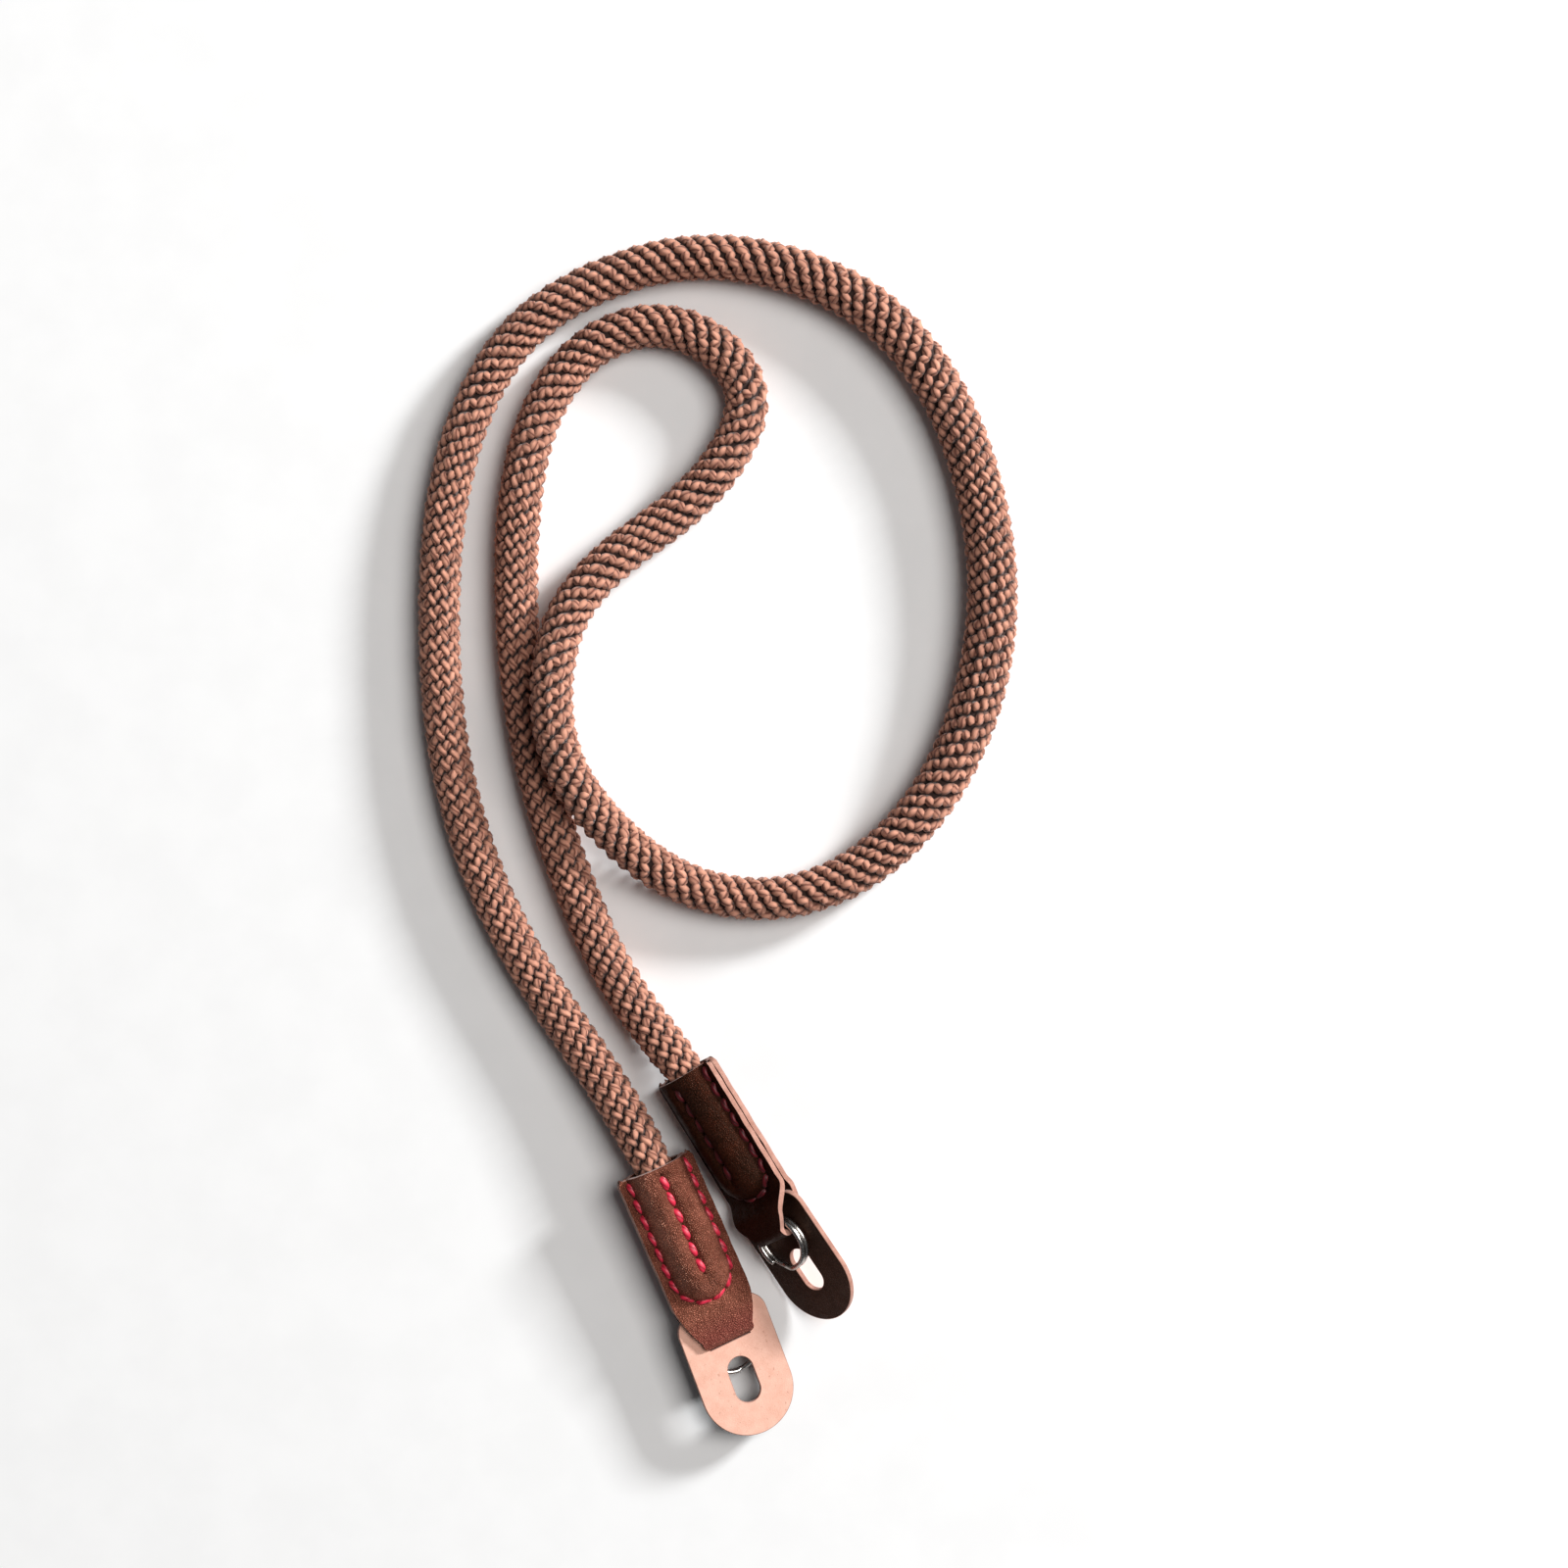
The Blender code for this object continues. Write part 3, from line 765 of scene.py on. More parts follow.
@dataclass
class Studio:
    """The camera straight above, a white floor, a key light from the upper right and a broad soft light."""

    lens: float = 85.0
    sensor: float = 36.0
    aim: Pair = (0.01519, 0.011575)
    camera_height: float = 0.8555
    floor_size: float = 4.0
    key: Lamp = Lamp("key_light", 134.0, 0.55, 36.0, 22.5, tint=(0.97, 0.99, 1.0))
    soft: Lamp = Lamp("soft_light", 74.0, 1.9, 21.0, 62.0, tint=(1.0, 0.975, 0.955))
    room_colour: Rgb = (235, 238, 242)
    room_light: float = 0.07

    def place_camera(self) -> None:
        """Adds the camera that looks straight down and makes it the scene's own."""
        data = bpy.data.cameras.new("overhead_camera")
        data.lens = self.lens
        data.sensor_width = self.sensor
        camera = add_object("overhead_camera", data)
        camera.location = (*self.aim, self.camera_height)
        bpy.context.scene.camera = camera

    def place_floor(self) -> None:
        """Adds the plain white floor at the height that the strap lies on."""
        half = self.floor_size / 2
        corners = np.array([(-half, -half, 0), (half, -half, 0), (half, half, 0), (-half, half, 0)])
        floor = mesh_object("studio_floor", corners, np.array([[0, 1, 2, 3]]))
        floor.data.materials.append(FLOOR_PAPER.material())

    def place_lights(self) -> None:
        """Adds the two lights and the dim room."""
        self.key.place()
        self.soft.place()
        world = bpy.data.worlds.new("studio_room")
        world.use_nodes = True
        backdrop = world.node_tree.nodes["Background"]
        backdrop.inputs["Color"].default_value = srgb(*self.room_colour)
        backdrop.inputs["Strength"].default_value = self.room_light
        bpy.context.scene.world = world
        bpy.context.scene.view_settings.view_transform = "Standard"


def hang_on_body(piece: bpy.types.Object, *materials: bpy.types.Material) -> bpy.types.Object:
    """Gives a piece its materials and lets it ride on the strap's only body."""
    for material in materials:
        piece.data.materials.append(material)
    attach(piece, BODY)
    return piece


@dataclass
class NeckRope:
    """The knitted rope: a heart, dark with painted shade for the gaps between the loops, with five yarns
    knitted in loops round it.

    Route rows hold x, y, the underside's height and the girth, in metres and as a share of ROPE_DIAMETER.
    Stray sizes are the small unevenness of the loops. Bunched ones say how the loops close up in a bend.
    """

    route: tuple[tuple[float, float, float, float], ...] = (
        (-0.0215, -0.0637, 0.0017, 0.98), (-0.0455, -0.0267, 0, 0.97), (-0.0615, 0.0178, 0, 0.96),
        (-0.064, 0.0478, 0, 0.95), (-0.062, 0.0773, 0, 0.97), (-0.0555, 0.0993, 0, 0.97),
        (-0.0435, 0.1168, 0, 0.97), (-0.0265, 0.1273, 0, 0.98), (-0.0075, 0.1323, 0, 1.02),
        (0.0145, 0.1303, 0, 1.06), (0.035, 0.1208, 0, 1.08), (0.0505, 0.1033, 0, 1.08),
        (0.06, 0.0793, 0, 1.10), (0.063, 0.0568, 0, 1.15), (0.061, 0.0368, 0, 1.17),
        (0.053, 0.0148, 0, 1.13), (0.037, -0.0047, 0, 1.06), (0.0165, -0.0142, 0, 0.99),
        (-0.0075, -0.0112, 0.0012, 0.97), (-0.025, 0.0018, 0.0056, 0.97), (-0.035, 0.0168, 0.0094, 0.98),
        (-0.0375, 0.0343, 0.0096, 0.98), (-0.0335, 0.0508, 0.0068, 1), (-0.0215, 0.0648, 0.0026, 1),
        (-0.008, 0.0753, 0.0004, 1), (0.003, 0.0883, 0, 1), (0.0065, 0.1013, 0, 1),
        (-0.001, 0.1123, 0, 1.01), (-0.0155, 0.1168, 0, 1), (-0.029, 0.1118, 0, 0.98),
        (-0.0395, 0.0988, 0, 0.98), (-0.0455, 0.0758, 0, 1), (-0.046, 0.0478, 0, 1),
        (-0.042, 0.0178, 0, 1), (-0.0335, -0.0102, 0, 0.98), (-0.021, -0.0362, 0.0007, 0.98),
    )
    route_steps: int = 24
    pace: float = 0.5 * MM
    mouth_taper: float = 7.0 * MM
    tail_taper: float = 4.5 * MM
    tail_girth: float = 0.491
    heart_depth: float = 1.5 * MM
    heart_knots: int = 360
    wales: int = 9
    starts: int = 5
    course: float = 3.45 * MM
    loop_swing: float = 0.25
    loop_reach: float = 1.3 * MM
    loop_depth: float = 0.78 * MM
    yarn_out: float = 0.86 * MM
    yarn_side: float = 0.84 * MM
    leg_plumpness: float = 0.22
    samples: int = 16
    sides: int = 6
    stretches: int = 4
    bend_window: int = 51
    bunching: Pair = (7.0, 15.0)
    bunched_reach: float = 0.66
    bunched_swing: float = 0.85
    bunched_yarn: float = 0.36
    bunched_depth: float = 0.6
    stray_turn: float = 0.03
    stray_reach: float = 0.04
    stray_girth: float = 0.05
    stray_depth: float = 0.05 * MM
    # Depths below the rope's surface over which the yarn ramps into painted shade.
    crevice_shade_from: float = 0.25 * MM
    crevice_shade_to: float = 1.4 * MM
    knit_inside: float = 23.0 * MM
    floor_gap: float = 0.1 * MM
    seed: int = 11
    walked: Array = worked_out()
    line: Array = worked_out()
    radius: Array = worked_out()
    bunch: Array = worked_out()
    aside: Array = worked_out()
    lift: Array = worked_out()

    def __post_init__(self) -> None:
        """Walks the route and keeps the centreline, its frames and its radius every half millimetre."""
        path = spline_through(self.route_rows(), self.route_steps)
        path[:, 2] = np.maximum(path[:, 2], path[:, 3])
        walked = walked_lengths(path[:, :3])
        self.walked = np.linspace(0.0, walked[-1], int(walked[-1] / self.pace))
        dense = np.stack([np.interp(self.walked, walked, path[:, k]) for k in range(4)], axis=1)
        self.line = dense[:, :3]
        inside = ROPE_TAIL - np.minimum(self.walked, self.walked[-1] - self.walked)
        at_mouth = (1 - ROPE_MOUTH_GIRTH) * smooth(-self.mouth_taper, 0.0, inside)
        in_tail = (ROPE_MOUTH_GIRTH - self.tail_girth) * smooth(0.0, self.tail_taper, inside)
        self.radius = dense[:, 3] * (1 - at_mouth - in_tail)
        self.aside, self.lift = self.frames()
        run = np.gradient(self.line, self.walked, axis=0)
        bend = np.linalg.norm(np.gradient(run, self.walked, axis=0), axis=1)
        window = np.full(self.bend_window, 1 / self.bend_window)
        self.bunch = smooth(*self.bunching, np.convolve(bend, window, mode="same"))

    def route_rows(self) -> list[tuple[float, ...]]:
        """The route from tail to tail as rows of x, y, z and radius."""
        def tail(place: EndPlace, girth: float) -> list[tuple[float, ...]]:
            """Two rows on the axis of a leather end: the rope's tail and the mouth."""
            end = place.matrix()
            return [(*(end @ Vector((reach, 0, 0))), girth * ROPE_RADIUS) for reach in (ROPE_TAIL, 0)]

        lay = [(x, y, low + girth * ROPE_RADIUS, girth * ROPE_RADIUS) for x, y, low, girth in self.route]
        return tail(LEFT_PLACE, self.route[0][3]) + lay + tail(RIGHT_PLACE, self.route[-1][3])[::-1]

    def frames(self) -> tuple[Array, Array]:
        """Two directions across the rope at each point, carried along it without twisting.

        Returns:
            The sideways and the upward directions.
        """
        run = np.gradient(self.line, axis=0)
        run /= np.linalg.norm(run, axis=1)[:, None]
        up = np.empty_like(run)
        latest = np.array((0.0, 0.0, 1.0))
        for i, step in enumerate(run):
            latest = latest - latest.dot(step) * step
            latest /= np.linalg.norm(latest)
            up[i] = latest
        return np.cross(run, up), up

    def point(self, along: Array, turn: Array, radius: Array) -> tuple[Array, Array]:
        """Places points round the centreline.

        Args:
            along: Lengths along the rope.
            turn: Angles round it.
            radius: Distances from the centreline.

        Returns:
            The points and the outward direction at each.
        """
        def read(kept: Array) -> Array:
            """Reads a kept array at the lengths."""
            return np.stack([np.interp(along, self.walked, kept[:, k]) for k in range(3)], axis=1)

        out = read(self.aside) * np.cos(turn)[:, None] + read(self.lift) * np.sin(turn)[:, None]
        return read(self.line) + out * radius[:, None], out

    def build_heart(self) -> bpy.types.Object:
        """Builds the rope's heart.

        Returns:
            A round tube of one open spline that follows the whole route.
        """
        curve = bpy.data.curves.new("rope_heart", "CURVE")
        curve.dimensions = "3D"
        curve.bevel_depth = ROPE_RADIUS
        curve.bevel_resolution = 4
        curve.use_fill_caps = True
        spline = curve.splines.new("POLY")
        stations = np.linspace(0, len(self.walked) - 1, self.heart_knots).astype(int)
        spline.points.add(len(stations) - 1)
        for knot, station in zip(spline.points, stations):
            knot.co = (*self.line[station], 1.0)
            knot.radius = (self.radius[station] - self.heart_depth) / ROPE_RADIUS
        return hang_on_body(add_object("rope_heart", curve), ROPE_HEART_SHADE.material())

    def knit_course(self, start: int, chance: np.random.Generator) -> tuple[Array, ...]:
        """Lays one of the yarns in knitted loops from end to end.

        Args:
            start: Which of the yarns it is.
            chance: The source of its small unevenness.

        Returns:
            Rings of points round the yarn, the millimetres walked along it and, for each point, its share of
            painted crevice shade, which grows the deeper it lies.
        """
        first, last = ROPE_TAIL - self.knit_inside, self.walked[-1] - ROPE_TAIL + self.knit_inside
        wound = self.starts * self.course
        stitches = int((last - first - 2 * self.loop_reach - start * self.course) / wound * self.wales)
        place = np.arange(stitches * self.samples + 1) / self.samples
        phase = place * 2 * math.pi
        knots = np.arange(stitches + 2)
        loose = np.interp(place, knots, chance.normal(0, 1, len(knots)))
        stray = np.interp(place, knots, chance.normal(0, 1, len(knots)))
        along = first + self.loop_reach + place / self.wales * wound + start * self.course
        bunch = np.interp(along, self.walked, self.bunch)
        swing = self.loop_swing * (1 - self.bunched_swing * bunch)
        turn = -(place + swing * np.sin(2 * phase) + self.stray_turn * stray) * 2 * math.pi / self.wales
        reach = self.loop_reach * (1 - self.bunched_reach * bunch) * (1 + self.stray_reach * loose)
        along -= reach * np.cos(phase)
        girth = np.interp(along, self.walked, self.radius)
        thick = (1 + self.stray_girth * stray) * (1 - self.leg_plumpness * (1 - bunch) * np.cos(2 * phase))
        thick = thick * (1 + self.bunched_yarn * bunch)
        dip = self.loop_depth * (1 - self.bunched_depth * bunch) * (1 + np.cos(2 * phase))
        depth = self.yarn_out * thick + dip + self.stray_depth * (1 + loose)
        centre, out = self.point(along, turn, girth - depth)
        rings = strand_rings(centre, out, self.yarn_out * thick, self.yarn_side * thick, self.sides)
        rings[:, :, 2] = np.maximum(rings[:, :, 2], self.floor_gap)
        heart = self.point(along, turn, np.zeros_like(along))[0]
        below = girth[:, None] - np.linalg.norm(rings - heart[:, None, :], axis=2)
        return rings, walked_lengths(centre) / MM, smooth(self.crevice_shade_from, self.crevice_shade_to, below)

    def build_knit(self) -> list[bpy.types.Object]:
        """Builds the knitted yarns, cut into stretches between stitches.

        Returns:
            One piece for each stretch of the rope.
        """
        chance = np.random.default_rng(self.seed)
        courses = [self.knit_course(start, chance) for start in range(self.starts)]
        yarn = ROPE_YARN.material()
        pieces = []
        for stretch in range(self.stretches):
            points, faces, corners, shaded_hollows = [], [], [], []
            first = 0
            for rings, walked, crevice_shade in courses:
                total = (len(rings) - 1) // self.samples
                here, there = (total * k // self.stretches * self.samples for k in (stretch, stretch + 1))
                part = rings[here:there + 1]
                points.append(part.reshape(-1, 3))
                shaded_hollows.append(crevice_shade[here:there + 1].ravel())
                faces.append(strand_faces(len(part), self.sides, first))
                corners.append(strand_uv(walked[here:there + 1], self.sides))
                first += len(part) * self.sides
            piece = mesh_object(f"rope_knit_{stretch + 1}", np.concatenate(points), np.concatenate(faces),
                                np.concatenate(corners))
            paint(piece, "crevice_shade", np.concatenate(shaded_hollows))
            pieces.append(hang_on_body(piece, yarn))
        return pieces

    def build(self) -> None:
        heart = self.build_heart()
        knit = self.build_knit()
        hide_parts("neck_rope")
        LOG.info("neck rope: %.0f mm of rope in %d knitted stretches", self.walked[-1] / MM, len(knit))


@dataclass(frozen=True)
class Stitch:
    """One visible stitch on a leather end: its middle, its heading in the plane, and its length."""

    reach: float
    across: float
    heading: float
    length: float


@dataclass
class SeamPlan:
    """Where the thread goes: a row along each side, round the rope's end, and a row down the middle."""

    round_pitch: float = 4.11 * MM
    middle_start: float = 1.5 * MM
    middle_stop: float = 26.5 * MM
    middle_count: int = 6
    stitch_share: float = 0.93
    slant: float = 10.0
    lead_in: float = 0.6 * MM
    side_steps: int = 120
    bend_steps: int = 160
    slant_spread: float = 2.0
    place_spread: float = 0.06 * MM
    length_spread: float = 0.03

    def outer_line(self) -> Array:
        """The outer row's path, densely sampled from one mouth corner round to the other."""
        straight = np.linspace(self.lead_in, ROPE_SEAT, self.side_steps)
        turn = np.linspace(-math.pi / 2, math.pi / 2, self.bend_steps)[1:-1]
        near = np.stack([straight, np.full_like(straight, -ROW_HALF)], axis=1)
        bend = np.stack([ROPE_SEAT + ROW_HALF * np.cos(turn), ROW_HALF * np.sin(turn)], axis=1)
        return np.concatenate([near, bend, near[::-1] * (1, -1)])

    def spans(self) -> list[tuple[Array, Array]]:
        """Pairs of holes, one pair for each stitch."""
        line = self.outer_line()
        walked = walked_lengths(line)
        count = round(walked[-1] / self.round_pitch)
        holes = np.linspace(0, walked[-1], count + 1)
        outer = np.stack([np.interp(holes, walked, line[:, k]) for k in range(2)], axis=1)
        middle = np.linspace(self.middle_start, self.middle_stop, self.middle_count + 1)
        inner = np.stack([middle, np.zeros_like(middle)], axis=1)
        return list(zip(outer, outer[1:])) + list(zip(inner, inner[1:]))

    def holes(self) -> Array:
        """The pierced holes, one row of reach and across for each."""
        return np.unique(np.round(np.array([hole for span in self.spans() for hole in span]), 7), axis=0)

    def stitches(self, chance: np.random.Generator) -> list[Stitch]:
        """Places the stitches.

        Args:
            chance: The source of their small unevenness.

        Returns:
            The stitches, each a little slanted to its row.
        """
        placed = []
        for start, stop in self.spans():
            step = stop - start
            slant = math.radians(self.slant + chance.normal(0, self.slant_spread))
            heading = math.atan2(step[1], step[0]) - slant
            middle = (start + stop) / 2 + chance.normal(0, self.place_spread, 2)
            length = np.linalg.norm(step) * self.stitch_share * (1 + chance.normal(0, self.length_spread))
            placed.append(Stitch(float(middle[0]), float(middle[1]), heading, float(length)))
        return placed


@dataclass
class CoverForm:
    """The shape of one half of the strip: seam, bulge over the rope, groove, stitch dents and puckers."""

    face: Face
    seams: SeamPlan
    seed: int
    pace: float = 0.2 * MM
    bulge_foot: float = 0.6 * MM
    groove_depth: float = 1.9 * MM
    groove_width: float = 2.4 * MM
    groove_start: Pair = (0.5 * MM, 4.0 * MM)
    groove_stop: Pair = (ROPE_SEAT - 1.5 * MM, ROPE_SEAT + 2.0 * MM)
    hole_depth: float = 0.5 * MM
    hole_radius: float = 0.5 * MM
    hole_edge: Pair = (0.35 * MM, 0.8 * MM)
    channel_depth: float = 0.22 * MM
    channel_width: float = 0.8 * MM
    pucker_depth: float = 0.55 * MM
    pucker_reach: float = 28.4 * MM
    pucker_length: float = 1.7 * MM
    pucker_width: float = 0.75 * MM
    pucker_start: float = 26.0 * MM
    pucker_flare: float = 0.2
    unevenness: float = 0.07 * MM
    wave_count: int = 9
    wave_spans: Pair = (3.0, 11.0)
    wave_phases: float = 6.28
    softness: int = 3
    reaches: Array = worked_out()
    acrosses: Array = worked_out()
    heights: Array = worked_out()
    pierced: Array = worked_out()

    def __post_init__(self) -> None:
        """Works out the height of the leather's middle over a grid of the end's plane."""
        self.reaches = np.arange(0.0, FOLD_START + self.pace, self.pace)
        self.acrosses = np.linspace(-COVER_HALF, COVER_HALF, 2 * round(COVER_HALF / self.pace) + 1)
        reach, across = np.meshgrid(self.reaches, self.acrosses, indexing="ij")
        swell = self.soften(self.bulge(reach, across))
        dent, self.pierced = self.seam_dents(reach, across)
        ahead = (reach - self.pucker_reach) / self.pucker_length
        aside = across / (self.pucker_width + self.pucker_flare * (reach - self.pucker_start))
        pucker = np.exp(-(ahead**2) - aside**2)
        flat = self.seam(reach) + swell - dent - self.pucker_depth * pucker
        self.heights = flat + self.waves(reach, across)

    def bulge(self, reach: Array, across: Array) -> Array:
        """How far the leather stands off the seam over the rope, with the middle row's groove."""
        beyond = np.maximum(0.0, reach - ROPE_SEAT)
        share = np.minimum(1.0, (across**2 + beyond**2) / (ROW_HALF - self.bulge_foot) ** 2)
        groove = np.exp(-((2 * across / self.groove_width) ** 2)) * smooth(*self.groove_start, reach)
        groove = groove * (1 - smooth(*self.groove_stop, reach))
        return np.where(share < 1, BULGE_HEIGHT * np.sqrt(1 - share) - self.groove_depth * groove, 0.0)

    def seam(self, reach: Array) -> Array:
        """The middle of the leather's thickness above the middle plane, where it lies flat."""
        top, rise = (TONGUE_LEVEL, RING_RISE) if self.face is Face.RING_SIDE else (GUARD_LEVEL, SEAM_RISE)
        return SEAM_LEVEL + (top - SEAM_LEVEL) * smooth(SEAM_START, SEAM_START + rise, reach)

    def soften(self, swell: Array) -> Array:
        """Rounds the bulge's foot by averaging each place with its neighbours."""
        for _ in range(self.softness):
            for axis in (0, 1):
                padded = np.concatenate([swell.take([0], axis), swell, swell.take([-1], axis)], axis)
                size = swell.shape[axis]
                before, after = padded.take(range(size), axis), padded.take(range(2, size + 2), axis)
                swell = (before + 2 * swell + after) / 4
        return swell

    def seam_dents(self, reach: Array, across: Array) -> tuple[Array, Array]:
        """How deep the thread pulls the leather in, and a mask of the pierced holes."""
        beyond = np.maximum(0.0, reach - ROPE_SEAT)
        off_outer = np.abs(np.hypot(across, beyond) - ROW_HALF)
        dent = self.channel_depth * np.exp(-((off_outer / self.channel_width) ** 2))
        pierced = np.zeros_like(reach)
        for hole_reach, hole_across in self.seams.holes():
            off = np.hypot(reach - hole_reach, across - hole_across)
            dent += self.hole_depth * np.exp(-((off / self.hole_radius) ** 2))
            pierced = np.maximum(pierced, 1 - smooth(*self.hole_edge, off))
        return dent, pierced

    def waves(self, reach: Array, across: Array) -> Array:
        """A seeded, shallow unevenness of the leather."""
        chance = np.random.default_rng(self.seed)
        total = np.zeros_like(reach)
        for _ in range(self.wave_count):
            span = chance.uniform(*self.wave_spans) * MM
            heading = chance.uniform(0, 2 * math.pi)
            phase = chance.uniform(0, self.wave_phases)
            ahead = reach * math.cos(heading) + across * math.sin(heading)
            total += np.sin(2 * math.pi * ahead / span + phase)
        fade = 1 - smooth(SEAM_START, FOLD_START, reach)
        return self.unevenness * total / math.sqrt(self.wave_count) * fade

    def read(self, kept: Array, reach: Array, across: Array) -> Array:
        """Reads a kept grid between its points.

        Args:
            kept: The heights or the mask.
            reach: Distances from the mouth.
            across: Distances from the middle line.

        Returns:
            The values there.
        """
        row = np.clip(np.asarray(reach) / self.pace, 0, len(self.reaches) - 1.001)
        column = (np.asarray(across) + COVER_HALF) / (2 * COVER_HALF) * (len(self.acrosses) - 1)
        column = np.clip(column, 0, len(self.acrosses) - 1.001)
        i, j = row.astype(int), column.astype(int)
        down, right = row - i, column - j
        near = kept[i, j] * (1 - right) + kept[i, j + 1] * right
        far = kept[i + 1, j] * (1 - right) + kept[i + 1, j + 1] * right
        return near * (1 - down) + far * down


@dataclass
class EndCover:
    """The folded strip of leather round the rope's end and the ring, with its thread."""

    place: EndPlace
    grain: GrainFinish
    thread: StrandFinish
    seed: int = 3
    columns: int = 71
    reach_pace: float = 0.32 * MM
    arc_steps: int = 16
    narrowing: float = 1.9
    corner_size: float = 1.0 * MM
    corner_cut: float = 0.125
    corner_sharpness: int = 12
    # How far before the fold the tongue's painted sheen and shade begins.
    fold_sheen_and_shade_length: float = 7.0 * MM
    rim_width: float = 0.16 * MM
    rim_angle: float = 60.0
    thread_seed: int = 43
    thread_steps: int = 15
    thread_sides: int = 10
    thread_out: float = 0.52 * MM
    thread_side: float = 0.86 * MM
    thread_rise: float = 0.55 * MM
    thread_sink: float = 0.35 * MM
    thread_lift: float = 0.3 * MM
    thread_dent: float = 0.5
    thread_bow: float = 2.6
    thread_tip: Pair = (4.5, 0.05)
    thread_spread: float = 0.04
    twist_shift: float = 1.7
    seams: SeamPlan = field(default_factory=SeamPlan)
    forms: dict[Face, CoverForm] = worked_out()

    def __post_init__(self) -> None:
        """Works out the shape of both halves."""
        self.forms = {face: CoverForm(face, self.seams, self.seed + face.value) for face in Face}

    def half_width(self, reach: Array, end_half: float) -> Array:
        """Half the strip's width at a reach, narrowing to its width at the fold."""
        start = SEWN_LENGTH - TONGUE_SHOULDER
        share = np.clip((reach - start) / (FOLD_START - start), 0.0, 1.0)
        return COVER_HALF + (end_half - COVER_HALF) * share**self.narrowing

    def flat_rows(self, face: Face) -> list[Array]:
        """Rows of points across one half of the strip, from the mouth to the fold."""
        form = self.forms[face]
        end_half = TONGUE_HALF + (TONGUE_FLARE if face is Face.BODY_SIDE else 0.0)
        reaches = np.linspace(0.0, FOLD_START, round(FOLD_START / self.reach_pace) + 1)
        shares = np.linspace(-1, 1, self.columns)
        rows = []
        for reach in reaches:
            across = shares * self.half_width(reach, end_half)
            corner = max(0.0, self.corner_size - reach)
            cut = self.corner_cut * corner**2 / self.corner_size**2 * np.abs(shares) ** self.corner_sharpness
            across = across * (1 - cut)
            height = face.value * form.read(form.heights, np.full_like(across, reach), across)
            rows.append(np.stack([np.full_like(across, reach), across, height], axis=1))
        return rows

    def fold_rows(self) -> list[Array]:
        """Rows round the fold, from the body side through the guard's slit to the ring side."""
        shares = np.linspace(-1, 1, self.columns)
        angles = np.linspace(0, math.pi / 2, self.arc_steps + 1)
        outside = FOLD_RADIUS + LEATHER / 2
        rows = []
        for angle in angles[1:]:
            beyond = outside * math.sin(angle) - (outside - TONGUE_FLARE)
            half = TONGUE_HALF + math.sqrt(max(0.0, TONGUE_FLARE**2 - max(0.0, beyond) ** 2))
            level = -GUARD_LEVEL + FOLD_RADIUS * (1 - math.cos(angle))
            rows.append((FOLD_START + FOLD_RADIUS * math.sin(angle), half, level))
        straight = np.linspace(-GUARD_LEVEL + FOLD_RADIUS, TONGUE_LEVEL - FOLD_RADIUS, self.arc_steps + 1)
        rows += [(FOLD_REACH, TONGUE_HALF, level) for level in straight[1:]]
        for angle in angles[::-1][1:-1]:
            level = TONGUE_LEVEL - FOLD_RADIUS * (1 - math.cos(angle))
            rows.append((FOLD_START + FOLD_RADIUS * math.sin(angle), TONGUE_HALF, level))
        return [np.stack([np.full_like(shares, reach), shares * half, np.full_like(shares, level)], axis=1)
                for reach, half, level in rows]

    def build_leather(self) -> bpy.types.Object:
        """Builds the leather as one folded sheet of even thickness.

        Returns:
            The cover, with a mask for its pierced holes and a mask for the painted sheen and shade towards its
            fold.
        """
        near, far = self.flat_rows(Face.BODY_SIDE), self.flat_rows(Face.RING_SIDE)[::-1]
        fold = self.fold_rows()
        rows = near + fold + far
        points = np.concatenate(rows)
        grid = np.arange(len(points)).reshape(len(rows), self.columns)
        quads = [grid[:-1, :-1], grid[1:, :-1], grid[1:, 1:], grid[:-1, 1:]]
        cover = mesh_object(f"{self.place.name}_cover", points, np.stack(quads, axis=-1).reshape(-1, 4))
        cover.matrix_world = self.place.matrix()
        reach, across = points[:, 0], points[:, 1]
        faces = np.repeat([-1] * len(near) + [0] * len(fold) + [1] * len(far), self.columns)
        pierced = np.zeros(len(points))
        for face, form in self.forms.items():
            here = faces == face.value
            pierced[here] = form.read(form.pierced, reach[here], across[here])
        paint(cover, "pierced", pierced)
        # Painted sheen and shade: a mask that rises along the tongue towards the fold.
        paint(cover, "fold_sheen_and_shade", smooth(FOLD_START - self.fold_sheen_and_shade_length, FOLD_START, reach))
        shell = cover.modifiers.new("leather", "SOLIDIFY")
        shell.thickness = LEATHER
        shell.offset = 0.0
        shell.material_offset_rim = 1
        rim = cover.modifiers.new("rim", "BEVEL")
        rim.width = self.rim_width
        rim.segments = 2
        rim.limit_method = "ANGLE"
        rim.angle_limit = math.radians(self.rim_angle)
        return hang_on_body(cover, self.grain.material(), CUT_EDGE.material())

